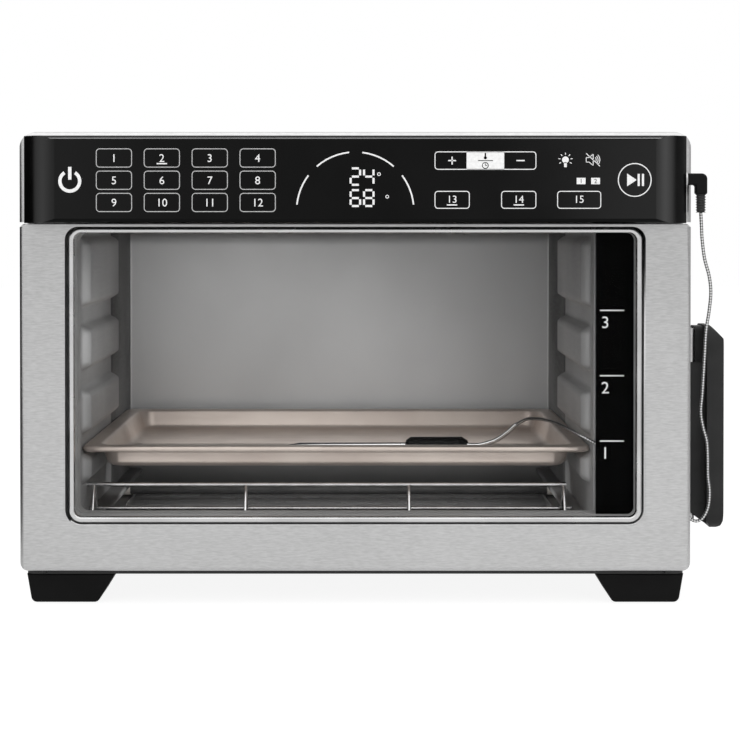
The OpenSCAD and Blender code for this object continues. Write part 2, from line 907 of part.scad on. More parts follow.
module door_skin() {
  color(steel) placed() difference() {
    door_shell();
    block([-half_w - 1, -1, cap_z], [half_w + 1, door_t, door_z1 + 1]);
    along_y(-1, sheet + 2)
      rrect([-rim_x - rim_gap, rim_z0 - rim_gap], [rim_x + rim_gap, cap_z],
        [rim_r + rim_gap, rim_r + rim_gap, rim_r + 0.3, rim_r + 0.3]);
    for (s = [0, 1]) mirror([s, 0, 0])
      block([notch_x, 7, door_z0 - 1], [inner_w, door_t, axis_z + 18]);
  }
}

// Trim strip that closes the door's top edge
module door_cap() {
  color(steel) placed() intersection() {
    door_shell();
    block([-half_w - 1, -1, cap_z], [half_w + 1, door_t, door_z1 + 1]);
  }
}

module rim_sweep() {
  rotate([90, 0, 0]) round_sweep(-rim_x, rim_x, rim_z0, rim_z1, rim_r) children();
}

module window_rim() {
  b = rim_w / 2;
  color(steel) placed() rim_sweep() {
    translate([-b, rim_proud - b]) circle(b);
    translate([-rim_w, -rim_back]) square([rim_w, rim_back + rim_proud - b]);
  }
}

// Carries the rim on the glass and leaves room for fingertips behind its top rail
module rim_web() {
  color(steel) placed() difference() {
    rim_sweep() translate([-rim_w, -glass_set]) square([rim_w, glass_set - rim_back]);
    block([-groove_w / 2, 0, rim_z1 - rim_w - 1], [groove_w / 2, glass_set + 1, rim_z1 + 1]);
  }
}

module window_glass() {
  color([0.8, 0.85, 0.86, 0.3]) placed()
    block([-rim_x - 2.5, glass_set, rim_z0 - 2.7], [rim_x + 2.5, glass_y1, rim_z1 + 0.2]);
}

module guide_strip() {
  color(black) placed()
    block([strip_x0, glass_y1, rim_z0], [rim_x - 1, glass_y1 + strip_t, rim_z1 - 1]);
}

module door_inner_frame() {
  y0 = glass_y1 + strip_t;
  color(grey) placed() {
    difference() {
      union() {
        along_y(door_t - sheet, door_t)
          rrect([-half_w + 0.5, door_z0 + 0.5], [half_w - 0.5, door_z1 - 0.5], [6.5, 6.5, 3, 3]);
        along_y(y0, door_t - sheet)
          rrect([-view_x - sheet, view_z0 - sheet], [view_x + sheet, view_z1 + sheet], [7, 7, 7, 7]);
      }
      along_y(y0 - 1, door_t + 1)
        rrect([-view_x, view_z0], [view_x, view_z1], [6, 6, 6, 6]);
      for (s = [0, 1]) mirror([s, 0, 0])
        block([notch_x, 0, door_z0 - 1], [half_w, door_t + 1, axis_z + 18]);
    }
  }
}

module door_bumpers() {
  color(grey) placed() for (s = [-1, 1], z = [door_z0 + bumper_low, door_z1 - bumper_top])
    along_y(door_t, frame_y - slide_fit) translate([s * (half_w - bumper_in), z]) circle(bumper_r);
}

// Pan and guard

module pan_outline(inset, r) {
  rrect([pan_x0 + inset, pan_y0 + inset], [pan_x1 - inset, pan_y1 - inset], [r, r, r, r]);
}

module baking_pan() {
  u = pan_rim + pan_flare + pan_t;
  color([0.7, 0.67, 0.65]) placed() {
    round_sweep(pan_x0, pan_x1, pan_y0, pan_y1, pan_rc)
      translate([-bead_r, pan_top - bead_r]) circle(bead_r);
    along_z(pan_top - pan_t, pan_top) difference() {
      pan_outline(bead_r, pan_rc - bead_r);
      pan_outline(pan_rim + pan_t, wall_rc - pan_t);
    }
    round_sweep(pan_x0 + pan_rim, pan_x1 - pan_rim, pan_y0 + pan_rim, pan_y1 - pan_rim, wall_rc)
      polygon([
        [0, pan_top], [0, pan_top - pan_t], [-pan_flare, pan_low], [-pan_flare - 2, pan_low],
        [-pan_flare - 2, pan_floor], [-pan_flare - pan_t, pan_floor], [-pan_t, pan_top]
      ]);
    along_z(pan_low, pan_floor) pan_outline(u, wall_rc - pan_flare - pan_t);
  }
}

// Three long wires joined by bent loops, over the front lower heater
module heater_guard() {
  y1 = guard_y0 + guard_d;
  ym = guard_y0 + guard_d / 2;
  top = guard_z + rail_h;
  color(steel) placed() {
    for (y = [guard_y0, y1]) rod([guard_x0, y, guard_z], [guard_x1, y, guard_z], wire_r);
    rod([guard_x0, ym, top], [guard_x1 - 5, ym, top], wire_r);
    for (x = loop_x, y = [guard_y0, y1]) rod([x, y, guard_z], [x, ym, top], loop_r);
  }
}

// Cable spool

module spool_bracket() {
  x0 = half_w;
  y0 = spool_y - arm_w / 2;
  y1 = spool_y + arm_w / 2;
  color(steel) placed() along_z(spool_z0 + 5, spool_z1 - 2.7) difference() {
    rrect([x0, y0], [steel_x1, y1], [0, 2, 2, 0]);
    rrect([x0 + 1.5, y0 + 1.5], [steel_x1 - 1.5, y1 - 1.5], [0, 1, 1, 0]);
  }
}

module cable_spool() {
  hy = arm_w / 2 + slide_fit;
  x1 = spool_x1;
  color(black) placed() difference() {
    union() {
      along_x(half_w + slide_fit, core_x1 + 2)
        rrect([spool_y - 16, core_z0], [spool_y + 16, core_z1], [8, 8, 8, 8]);
      along_x(core_x1 - 6, core_x1 + 2)
        rrect([spool_y - 9, core_z1 - 5], [spool_y + 9, spool_z1 - 1], [0, 0, 3, 3]);
      intersection() {
        along_x(core_x1, x1)
          rrect([spool_y - 24, spool_z0], [spool_y + 24, spool_z1], [14, 14, 14, 14]);
        along_y(spool_y - 25, spool_y + 25) polygon([
          [core_x1, spool_z0 + 7], [core_x1 + 4, spool_z0], [x1 - 4, spool_z0],
          [x1 - 1, spool_z0 + 2], [x1, spool_z0 + 6], [x1, spool_z1 - 9],
          [x1 - 8, spool_z1], [core_x1, spool_z1]
        ]);
      }
    }
    block([half_w, spool_y - hy, 0], [steel_x1 + slide_fit, spool_y + hy, body_h]);
  }
}

// Thermometer

module along_probe(p) {
  translate(p) rotate([0, 90 - probe_el, probe_az]) children();
}

module probe_plug() {
  color(black) placed() {
    along_y(jack_y - plug_half, jack_y + plug_half) {
      rrect([panel_hw + 1.2, jack_z - plug_half], [plug_x + plug_half, jack_z + plug_half], [0, 0, 1.5, 0]);
      rrect([plug_x - plug_half, plug_z], [plug_x + plug_half, jack_z], [1, 1, 0, 0]);
    }
    along_x(panel_hw - 12, panel_hw + 1.3) translate([jack_y, jack_z]) circle(2.5);
  }
}

module plug_boot() {
  color(black) placed() translate([plug_x, jack_y, plug_z - boot_l]) {
    cylinder(r = 1.9, h = boot_l);
    for (i = [0:3])
      translate([0, 0, 3 * i]) cylinder(r1 = 2.2 + 0.2 * i, r2 = 2.4 + 0.2 * i, h = 1.8);
  }
}

module probe_cable() {
  color(grey) placed() tube(cord_route, cord_d / 2, 8, 2);
}

module probe_tube() {
  color(steel) placed() tube(tube_route, cord_d / 2 + 0.5, 10, 4);
}

module probe_grip() {
  color(black) placed() along_probe(probe_at) {
    cylinder(r1 = grip_r - 2, r2 = grip_r, h = 3);
    translate([0, 0, 3]) cylinder(r = grip_r, h = grip_l - 7);
    translate([0, 0, grip_l - 4]) cylinder(r1 = grip_r, r2 = grip_r - 2.5, h = 4);
  }
}

module probe_needle() {
  color(steel) placed() along_probe(probe_at) {
    translate([0, 0, 10 - needle_l]) cylinder(r = needle_r, h = needle_l - 10);
    translate([0, 0, -needle_l]) cylinder(r1 = 0.4, r2 = needle_r, h = 10);
  }
}

outer_wrap();
header_fascia();
front_frame();
base_pan();
rear_cover();
rear_spacers();
foot_front_left();
foot_front_right();
foot_rear_left();
foot_rear_right();
foot_pads();
liner_left();
liner_right();
liner_back();
liner_top();
liner_floor();
crumb_tray();
upper_heaters();
lower_heaters();
heater_caps();
fan_shroud();
fan_motor();
motor_shaft();
fan_impeller();
cooling_blade();
lamp_lens();
lamp_holder();
temperature_sensor();
control_panel();
control_board();
display_module();
probe_jack();
power_board();
cord_gland();
rear_screws();
hinge_bracket_left();
hinge_bracket_right();
hinge_bush_left();
hinge_bush_right();
hinge_pin_left();
hinge_pin_right();
door_skin();
door_cap();
window_rim();
rim_web();
window_glass();
guide_strip();
door_inner_frame();
door_bumpers();
baking_pan();
heater_guard();
spool_bracket();
cable_spool();
probe_plug();
plug_boot();
probe_cable();
probe_tube();
probe_grip();
probe_needle();
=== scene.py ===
# %% [markdown]
# # Dressing a countertop air fryer oven
# The imported model already holds every solid piece of the oven, its bodies and its joints. This lesson
# gives those pieces their finishes, and replaces the ones whose real form is softer than a CAD solid,
# such as the pressed side walls, the drawn baking pan and the braided thermometer cable.

# %% Load the frame
import json
import math

import bmesh
import bpy
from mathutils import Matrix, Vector


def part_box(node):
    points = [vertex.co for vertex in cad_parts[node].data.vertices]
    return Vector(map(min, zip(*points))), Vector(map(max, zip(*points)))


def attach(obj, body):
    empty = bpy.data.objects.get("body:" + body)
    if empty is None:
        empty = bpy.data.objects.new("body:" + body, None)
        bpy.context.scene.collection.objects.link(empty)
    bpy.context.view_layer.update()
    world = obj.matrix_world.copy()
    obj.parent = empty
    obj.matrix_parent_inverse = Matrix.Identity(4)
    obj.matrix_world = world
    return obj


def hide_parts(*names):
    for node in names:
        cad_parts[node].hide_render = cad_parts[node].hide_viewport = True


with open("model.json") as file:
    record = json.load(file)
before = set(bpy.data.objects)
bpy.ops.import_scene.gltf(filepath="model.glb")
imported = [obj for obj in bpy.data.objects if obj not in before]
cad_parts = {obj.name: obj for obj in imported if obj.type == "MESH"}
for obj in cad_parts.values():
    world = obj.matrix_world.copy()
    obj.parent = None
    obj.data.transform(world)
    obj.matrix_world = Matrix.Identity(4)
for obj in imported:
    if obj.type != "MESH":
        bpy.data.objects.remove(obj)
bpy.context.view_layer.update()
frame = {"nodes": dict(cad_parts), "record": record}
node = frame["nodes"]

# %% [markdown]
# An oven is drawn from its front: millimetres across from the middle of the door, back from the door's
# face and up from the table. One helper turns such a place into Blender's metres in the shared frame. It
# takes the middle and the face from the door itself, so nothing here has to be fitted by eye.

# %% Places in millimetres from the door's face
door_low, door_high = (Vector(corner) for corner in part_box("door_skin"))
middle_x = (door_low.x + door_high.x) / 2
face_y = door_low.y


def mm(x, y, z):
    return Vector((middle_x + x / 1000, face_y + y / 1000, z / 1000))


def in_mm(corner):
    return Vector(((corner[0] - middle_x) * 1000, (corner[1] - face_y) * 1000, corner[2] * 1000))


def low_mm(name):
    return in_mm(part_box(name)[0])


def high_mm(name):
    return in_mm(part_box(name)[1])


print("door face at", round(face_y, 4), "middle at", round(middle_x, 4))

# %% [markdown]
# The photograph was taken straight from the front, a little above the middle, with a long lens. Its scale
# on the door and on the back wall give the distance, and a slight tilt with some shift puts the oven
# where it stands in the frame. Depth of field stays off, so that every piece is sharp from any side.

# %% Camera
camera_back = 1290
camera_up = 260.5
camera_tilt = math.radians(0.7)
camera_x = 0.84
focal_px = 1929.3
frame_px = 740
axis_px = 356.5
horizon_px = 220
sensor_mm = 36

camera_data = bpy.data.cameras.new("front_camera")
camera_data.sensor_width = sensor_mm
camera_data.lens = focal_px / frame_px * sensor_mm
camera_data.shift_x = (frame_px / 2 - axis_px) / frame_px
camera_data.shift_y = (horizon_px + focal_px * math.tan(camera_tilt) - frame_px / 2) / frame_px
camera = bpy.data.objects.new("front_camera", camera_data)
camera.location = mm(camera_x, -camera_back, camera_up)
camera.rotation_euler = (math.pi / 2 - camera_tilt, 0, 0)
bpy.context.collection.objects.link(camera)
bpy.context.scene.camera = camera
shift = (round(camera_data.shift_x, 3), round(camera_data.shift_y, 3))
print("lens", round(camera_data.lens, 2), "shift", shift)

# %% [markdown]
# Every finish starts as a Principled shader whose plain values sit on its own sockets. On top of that
# come a few small helpers, each of which adds one idea: a noise in the piece's own coordinates, a spread
# of that noise over a range, a tint between two colours and a relief. Brushing, casting grain and
# handling marks are all made from these. Where one noise does for everything, marked() sets it all at
# once.

# %% Helpers for finishes


def finish(name, colour, rough, metal=0.0, specular=0.5, alpha=1.0):
    made = bpy.data.materials.new(name)
    made.use_nodes = True
    shader = made.node_tree.nodes["Principled BSDF"]
    shader.inputs["Base Color"].default_value = (*colour, 1)
    shader.inputs["Roughness"].default_value = rough
    shader.inputs["Metallic"].default_value = metal
    shader.inputs["Specular IOR Level"].default_value = specular
    shader.inputs["Alpha"].default_value = alpha
    return made


def add(tree, kind, inputs=None, **settings):
    made = tree.nodes.new(kind)
    for key, value in settings.items():
        setattr(made, key, value)
    for socket, value in (inputs or {}).items():
        if isinstance(value, bpy.types.NodeSocket):
            tree.links.new(value, made.inputs[socket])
        else:
            made.inputs[socket].default_value = value
    return made


def into(made, socket, output):
    tree = made.node_tree
    tree.links.new(output, tree.nodes["Principled BSDF"].inputs[socket])


def noise(made, per_metre, detail=3.0):
    tree = made.node_tree
    place = add(tree, "ShaderNodeTexCoord")
    scaled = add(tree, "ShaderNodeMapping", {"Vector": place.outputs["Object"], "Scale": per_metre})
    cloud = add(tree, "ShaderNodeTexNoise",
                {"Vector": scaled.outputs["Vector"], "Scale": 1.0, "Detail": detail})
    return cloud.outputs[0]


noise_low, noise_high = 0.3, 0.7


def spread(made, value, low, high):
    return add(made.node_tree, "ShaderNodeMapRange",
               {"Value": value, 1: noise_low, 2: noise_high, 3: low, 4: high}).outputs[0]


def tint(made, value, dark, light):
    ramp = add(made.node_tree, "ShaderNodeValToRGB", {"Fac": value})
    stops = ramp.color_ramp.elements
    stops[0].position = noise_low
    stops[0].color = (*dark, 1)
    stops[1].position = noise_high
    stops[1].color = (*light, 1)
    into(made, "Base Color", ramp.outputs["Color"])


def relief(made, height, strength, depth_mm):
    bump = add(made.node_tree, "ShaderNodeBump",
               {"Height": height, "Strength": strength, "Distance": depth_mm / 1000})
    into(made, "Normal", bump.outputs["Normal"])


def grey(level):
    return (level, level, level)


def marked(name, colour, rough, per_metre, detail, tints, rough_range=None, bump=None, **looks):
    made = finish(name, colour, rough, **looks)
    marks = noise(made, per_metre, detail)
    tint(made, marks, *tints)
    if rough_range is not None:
        into(made, "Roughness", spread(made, marks, *rough_range))
    if bump is not None:
        relief(made, marks, *bump)
    return made


print("finish helpers ready")

# %% [markdown]
# The cable comes next, because its length counts when the part is used. The photograph shows both its
# ends, at the plug and at the thermometer, and hides the stretch where it enters the oven, so the length of
# a likely route is taken as the cable's. It leaves the boot straight down, hangs beside the oven, enters
# through the narrow gap at the door's edge and lies over the pan's rim.

# %% The cable's route in millimetres
panel_high = high_mm("control_panel")
panel_low = low_mm("control_panel")
pan_top = high_mm("baking_pan").z
plug_end = low_mm("plug_boot")
side_x = door_high.x * 1000 - middle_x * 1000
gap_y = (high_mm("door_inner_frame").y + low_mm("front_frame").y) / 2
cord_mm = 2.2
cord_start = (panel_high.x + 10.5, -5.5, plug_end.z)
meeting = (116, 98, pan_top + 10)
cord_route = [
    cord_start,
    (side_x + 5.5, -5.5, 256), (side_x + 6, -5, 248), (side_x + 8, -3, 235), (side_x + 11.5, -1, 223),
    (side_x + 13, 1, 212), (side_x + 12.5, 4, 200), (side_x + 11, 7, 186), (side_x + 10.5, 10, 168),
    (side_x + 10, 15, 144), (side_x + 9.5, 18, 130), (side_x + 11.5, 19, 119), (side_x + 14, 20, 110),
    (side_x + 15, 22, 98), (side_x + 15.5, 24, 86), (side_x + 17, 26, 75), (side_x + 16.5, 29, 64),
    (side_x + 13, 31, 56), (side_x + 8, gap_y, 54), (side_x + 2, gap_y, 58), (side_x - 10, gap_y, 68),
    (side_x - 28, gap_y, 84), (side_x - 46, gap_y, 99), (163, gap_y, pan_top + 5),
    (155, gap_y + 3, pan_top + 9), (147, 46, pan_top + 13), (139, 62, pan_top + 15.5),
    (131, 78, pan_top + 16), (123, 91, pan_top + 14.5), meeting,
]


def smooth(route, steps):
    points = [Vector(p) for p in route]
    last = len(points) - 1
    out = []
    for i in range(last):
        a, b, c, d = (points[max(0, min(last, i + k))] for k in (-1, 0, 1, 2))
        for k in range(steps):
            t = k / steps
            out.append(0.5 * (2 * b + (c - a) * t + (2 * a - 5 * b + 4 * c - d) * t ** 2
                              + (3 * b - a - 3 * c + d) * t ** 3))
    return out + [points[last]]


def length_of(points):
    return sum((q - p).length for p, q in zip(points, points[1:]))


cord_line = [mm(*p) for p in smooth(cord_route, 10)]

# %% [markdown]
# The cable and most pieces to come are rows of points with a skin of faces between them. One helper lays
# that skin, one closes its ends and one turns the work into a mesh. For the cable, the rows are rings
# along a smooth curve, and the tube's own map carries the braid: how far round, and how far along.

# %% Helpers for pieces


def new_piece(name, mesh, made, body):
    piece = bpy.data.objects.new(name, mesh)
    bpy.context.collection.objects.link(piece)
    if made is not None:
        mesh.materials.clear()
        mesh.materials.append(made)
    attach(piece, body)
    return piece


def skin(shape, rows, closed=False, flip=False):
    faces = []
    for row, after in zip(rows, rows[1:]):
        count = len(row)
        for k in range(count if closed else count - 1):
            j = (k + 1) % count
            corners = (row[k], row[j], after[j], after[k])
            if flip:
                corners = (row[k], after[k], after[j], row[j])
            faces.append(shape.faces.new(corners))
    return faces


def cap_ends(shape, rows):
    caps = [shape.faces.new(rows[0]), shape.faces.new(rows[-1])]
    bmesh.ops.recalc_face_normals(shape, faces=shape.faces)
    return caps


def mesh_of(name, shape, shade_smooth=False):
    mesh = bpy.data.meshes.new(name)
    shape.to_mesh(mesh)
    shape.free()
    if shade_smooth:
        for face in mesh.polygons:
            face.use_smooth = True
    return mesh


def round_turn(sides):
    return [2 * math.pi * k / sides for k in range(sides)]


def quarter_turn(count):
    return [math.pi / 2 * k / count for k in range(count + 1)]


print("piece helpers ready")

# %% Tubes that carry their own map


def tube_mesh(name, line, radius, sides):
    shape = bmesh.new()
    around = shape.loops.layers.uv.new("around_and_along")
    up = Vector((0, 1, 0.2))
    rings, along = [], [0.0]
    for i, p in enumerate(line):
        ahead = (line[min(i + 1, len(line) - 1)] - line[max(i - 1, 0)]).normalized()
        u = ahead.cross(up).normalized()
        v = ahead.cross(u)
        rings.append([shape.verts.new(p + radius * (math.cos(a) * u + math.sin(a) * v))
                      for a in round_turn(sides)])
        if i:
            along.append(along[-1] + (p - line[i - 1]).length)
    for index, face in enumerate(skin(shape, rings, closed=True)):
        i, k = divmod(index, sides)
        spots = ((k, i), (k + 1, i), (k + 1, i + 1), (k, i + 1))
        for loop, (turn, ring) in zip(face.loops, spots):
            loop[around].uv = (turn / sides, along[ring] * 1000)
    cap_ends(shape, rings)
    return mesh_of(name, shape, shade_smooth=True)


print("tube builder ready")

# %% The braid and the cable


def braided_lead():
    made = finish("braided_lead", grey(0.45), 0.34, metal=1.0)
    tree = made.node_tree
    uv = add(tree, "ShaderNodeUVMap", uv_map="around_and_along")
    parts = add(tree, "ShaderNodeSeparateXYZ", {"Vector": uv.outputs["UV"]})
    strands_round, strands_per_mm = 2, 0.27
    waves = []
    for hand in (1, -1):
        turn = add(tree, "ShaderNodeMath", {0: parts.outputs["X"], 1: strands_round * hand * 2 * math.pi},
                   operation="MULTIPLY")
        run = add(tree, "ShaderNodeMath", {0: parts.outputs["Y"], 1: strands_per_mm * 2 * math.pi,
                                           2: turn.outputs[0]}, operation="MULTIPLY_ADD")
        waves.append(add(tree, "ShaderNodeMath", {0: run.outputs[0]}, operation="SINE").outputs[0])
    crossing = add(tree, "ShaderNodeMath", {0: waves[0], 1: waves[1]}, operation="MULTIPLY")
    strands = add(tree, "ShaderNodeMapRange", {"Value": crossing.outputs[0], 1: -1.0, 2: 1.0}).outputs[0]
    tint(made, strands, grey(0.05), grey(0.72))
    relief(made, strands, strength=0.7, depth_mm=0.15)
    return made


cable = new_piece("thermometer_cable", tube_mesh("thermometer_cable", cord_line, cord_mm / 2000, 16),
                  braided_lead(), "housing")
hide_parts("probe_cable")
print("cable faces", len(cable.data.polygons))

# %% [markdown]
# Between the cable and the grip runs a polished steel tube, bent by hand so that it clears the pan's rim.
# It is made like the cable, from the grip's direction to the point where the two meet.

# %% The bent steel tube
probe_az = math.radians(-20)
probe_el = math.radians(2.4)
probe_at = Vector((38, 128, pan_top - 8.4))
probe_dir = Vector((math.cos(probe_az) * math.cos(probe_el),
                    math.sin(probe_az) * math.cos(probe_el),
                    math.sin(probe_el)))
grip_long = 46
tube_straight = 10
tube_r_mm = cord_mm / 2 + 0.5
grip_end = probe_at + grip_long * probe_dir
tube_route = [grip_end, grip_end + tube_straight * probe_dir, (102, 104.5, pan_top - 2),
              (110, 101, pan_top + 4), meeting]
tube_line = [mm(*p) for p in smooth(tube_route, 12)]


def polished_steel():
    return marked("polished_steel", grey(0.62), rough=0.2, metal=1.0, per_metre=(60, 60, 400), detail=3,
                  tints=(grey(0.52), grey(0.68)), rough_range=(0.14, 0.28))


probe_steel = polished_steel()
bent_tube = new_piece("thermometer_tube", tube_mesh("thermometer_tube", tube_line, tube_r_mm / 1000, 20),
                      probe_steel, "housing")
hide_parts("probe_tube")
print("tube", round(length_of(tube_line), 4), "m long")

# %% [markdown]
# The studio is a pale floor in a white room. The world is white to the camera and in reflections, and
# dimmer as a light, so that the lamps still shape the oven. Soft boxes do that: one above, one on each
# side in front. Small lamps in the cavity stand for the oven's own light. Lamps add to the white room in
# a mirror, so the side boxes are kept out of reflections.

# %% Room and floor


def white_room(strength_as_light):
    world = bpy.data.worlds.new("white_room")
    world.use_nodes = True
    tree = world.node_tree
    back = tree.nodes["Background"]
    back.inputs["Color"].default_value = (1, 1, 1, 1)
    path = add(tree, "ShaderNodeLightPath")
    seen = add(tree, "ShaderNodeMath", {0: path.outputs["Is Camera Ray"], 1: path.outputs["Is Glossy Ray"]},
               operation="MAXIMUM")
    seen = add(tree, "ShaderNodeMath", {0: seen.outputs[0], 1: path.outputs["Is Transmission Ray"]},
               operation="MAXIMUM")
    level = add(tree, "ShaderNodeMapRange", {"Value": seen.outputs[0], 3: strength_as_light, 4: 1.0})
    tree.links.new(level.outputs[0], back.inputs["Strength"])
    bpy.context.scene.world = world


def pale_floor(half_width):
    mesh = bpy.data.meshes.new("floor")
    corners = [(-half_width, -half_width, 0), (half_width, -half_width, 0),
               (half_width, half_width, 0), (-half_width, half_width, 0)]
    mesh.from_pydata(corners, [], [(0, 1, 2, 3)])
    made = finish("pale_floor", grey(0.9), 0.9, specular=0.1)
    tree = made.node_tree
    glow = add(tree, "ShaderNodeEmission", {"Color": (1, 1, 1, 1), "Strength": 1.2})
    path = add(tree, "ShaderNodeLightPath")
    share_mirrored, share_seen = 0.5, 0.75
    mirrored = add(tree, "ShaderNodeMath", {0: path.outputs["Is Glossy Ray"], 1: share_mirrored},
                   operation="MULTIPLY")
    share = add(tree, "ShaderNodeMath", {0: path.outputs["Is Camera Ray"], 1: share_seen,
                                         2: mirrored.outputs[0]}, operation="MULTIPLY_ADD")
    plain = tree.nodes["Principled BSDF"]
    both = add(tree, "ShaderNodeMixShader", {0: share.outputs[0], 1: plain.outputs[0], 2: glow.outputs[0]})
    tree.links.new(both.outputs[0], tree.nodes["Material Output"].inputs["Surface"])
    mesh.materials.append(made)
    floor = bpy.data.objects.new("floor", mesh)
    bpy.context.collection.objects.link(floor)


bpy.context.scene.view_settings.view_transform = "Standard"
white_room(strength_as_light=0.45)
pale_floor(half_width=6.0)
print("room and floor ready")

# %% Soft boxes


def soft_box(name, place, target, size, watts, mirrored=True):
    data = bpy.data.lights.new(name, "AREA")
    data.shape = "RECTANGLE"
    data.size, data.size_y = size
    data.energy = watts
    lamp = bpy.data.objects.new(name, data)
    lamp.location = place
    lamp.rotation_euler = (target - place).to_track_quat("-Z", "Y").to_euler()
    lamp.visible_camera = False
    lamp.visible_glossy = mirrored
    bpy.context.collection.objects.link(lamp)
    return lamp


oven_middle = mm(0, 180, 150)
soft_box("box_above", mm(0, -300, 1700), oven_middle, size=(3.0, 2.4), watts=19)
soft_box("box_left", mm(-1250, -1350, 750), oven_middle, size=(2.6, 2.6), watts=19, mirrored=False)
soft_box("box_right", mm(1250, -1350, 700), oven_middle, size=(2.0, 2.0), watts=15, mirrored=False)
print("soft boxes", len(bpy.data.lights))

# %% Lamps in the cavity
cavity_x = (low_mm("liner_floor").x + high_mm("liner_back").x) / 2
soft_box("oven_lamp", mm(cavity_x - 50, 45, 190), mm(cavity_x - 60, 330, 165), size=(0.2, 0.08), watts=0.11)
soft_box("low_fill", mm(cavity_x, 33, 50), mm(cavity_x, 200, 110), size=(0.33, 0.02), watts=0.03)
soft_box("under_pan_fill", mm(cavity_x, 190, 84), mm(cavity_x, 260, 30), size=(0.3, 0.14), watts=0.5,
         mirrored=False)
print("lamps", len(bpy.data.lights))

# %% [markdown]
# The gloss panel needs lights of its own. A photographer would set a strip on each side of it and a long
# one above, so that its round ends and its top edge shine while the steel stays calm. Here they are area
# lamps that are linked to the panel alone. A narrow spread makes their edges soft, so the shine fades
# out.

# %% Three strip lights for the gloss panel
panel_end = panel_high.x - 8
panel_middle = (panel_low.z + panel_high.z) / 2
left_end = mm(-panel_end, -15, panel_middle)
right_end = mm(panel_end, -15, panel_middle)
top_edge = mm(0, -20, panel_high.z)


def light_only(lamp, piece):
    group = bpy.data.collections.new(lamp.name + "_on")
    group.objects.link(piece)
    lamp.light_linking.receiver_collection = group


glow_left = soft_box("glow_left", mm(-639, -444, panel_middle), left_end, size=(1.08, 0.3), watts=1.1)
glow_left.data.spread = math.radians(84)
glow_right = soft_box("glow_right", mm(576, -499, panel_middle), right_end, size=(0.84, 0.3), watts=1.05)
glow_right.data.spread = math.radians(70)
glow_above = soft_box("glow_above", mm(0, -700, 1500), top_edge, size=(2.2, 0.6), watts=190)
for lamp in (glow_left, glow_right, glow_above):
    light_only(lamp, node["control_panel"])
print("strip lights ready")

# %% [markdown]
# Steel in a white room loses its edges, so low cards stand beside the oven, as a photographer places
# them: a near and a far one on each side, nearly black on the left and pale grey on the right. Only
# reflections see them, and they cast no shadow.

# %% Cards beside the oven


def side_card(name, x, y0, y1, high, level):
    mesh = bpy.data.meshes.new(name)
    corners = [mm(x, y0, 0), mm(x, y1, 0), mm(x, y1, high), mm(x, y0, high)]
    mesh.from_pydata(corners, [], [(0, 1, 2, 3)])
    mesh.materials.append(finish(name, grey(level), 0.9, specular=0.05))
    card = bpy.data.objects.new(name, mesh)
    card.visible_camera = False
    card.visible_diffuse = False
    card.visible_shadow = False
    card.visible_transmission = False
    bpy.context.collection.objects.link(card)


far_x, near_x = 900, 480
for side, hand, level in (("left", -1, 0.01), ("right", 1, 0.75)):
    side_card("far_card_" + side, hand * far_x, y0=-250, y1=1500, high=420, level=level)
    side_card("near_card_" + side, hand * near_x, y0=-180, y1=600, high=130, level=level)
print("cards ready")

# %% [markdown]
# Brushed stainless is the finish that says most about this oven. Fine lines run across the front and top
# and from front to back on the sides, so two stretched noises are mixed by the way the surface faces. A
# slower cloud changes the roughness a little, as real sheet does. The same cloud lightens and darkens the
# colour in broad patches, a painted reflection standing in for the way brushed steel's shine changes.

# %% Brushed stainless


def brushed_stainless():
    made = finish("brushed_stainless", grey(0.5), 0.32, metal=1.0)
    tree = made.node_tree
    across = noise(made, (220, 1400, 1400), 5)
    lengthwise = noise(made, (1400, 220, 1400), 5)
    facing = add(tree, "ShaderNodeTexCoord").outputs["Normal"]
    side = add(tree, "ShaderNodeSeparateXYZ", {"Vector": facing}).outputs["X"]
    side = add(tree, "ShaderNodeMath", {0: side}, operation="ABSOLUTE").outputs[0]
    side = add(tree, "ShaderNodeMath", {0: side, 1: 0.7}, operation="GREATER_THAN").outputs[0]
    lines = add(tree, "ShaderNodeMix", {0: side, 2: across, 3: lengthwise}).outputs[0]
    cloud = noise(made, (4, 4, 6), 2)
    # The slow cloud mixed into the colour is painted reflection: broad lighter and darker patches, not
    # wear.
    tone_variation = add(tree, "ShaderNodeMix", {0: 0.35, 2: lines, 3: cloud}).outputs[0]
    tint(made, tone_variation, grey(0.42), grey(0.58))
    into(made, "Roughness", spread(made, cloud, 0.28, 0.38))
    relief(made, lines, strength=0.06, depth_mm=0.2)
    return made


def satin_liner():
    made = finish("satin_liner", grey(0.3), 0.42, metal=0.7)
    cloud = noise(made, (7, 7, 5), 4)
    lines = noise(made, (2400, 2400, 240), 3)
    tint(made, cloud, grey(0.27), grey(0.36))
    into(made, "Roughness", spread(made, lines, 0.4, 0.44))
    relief(made, lines, strength=0.02, depth_mm=0.1)
    return made


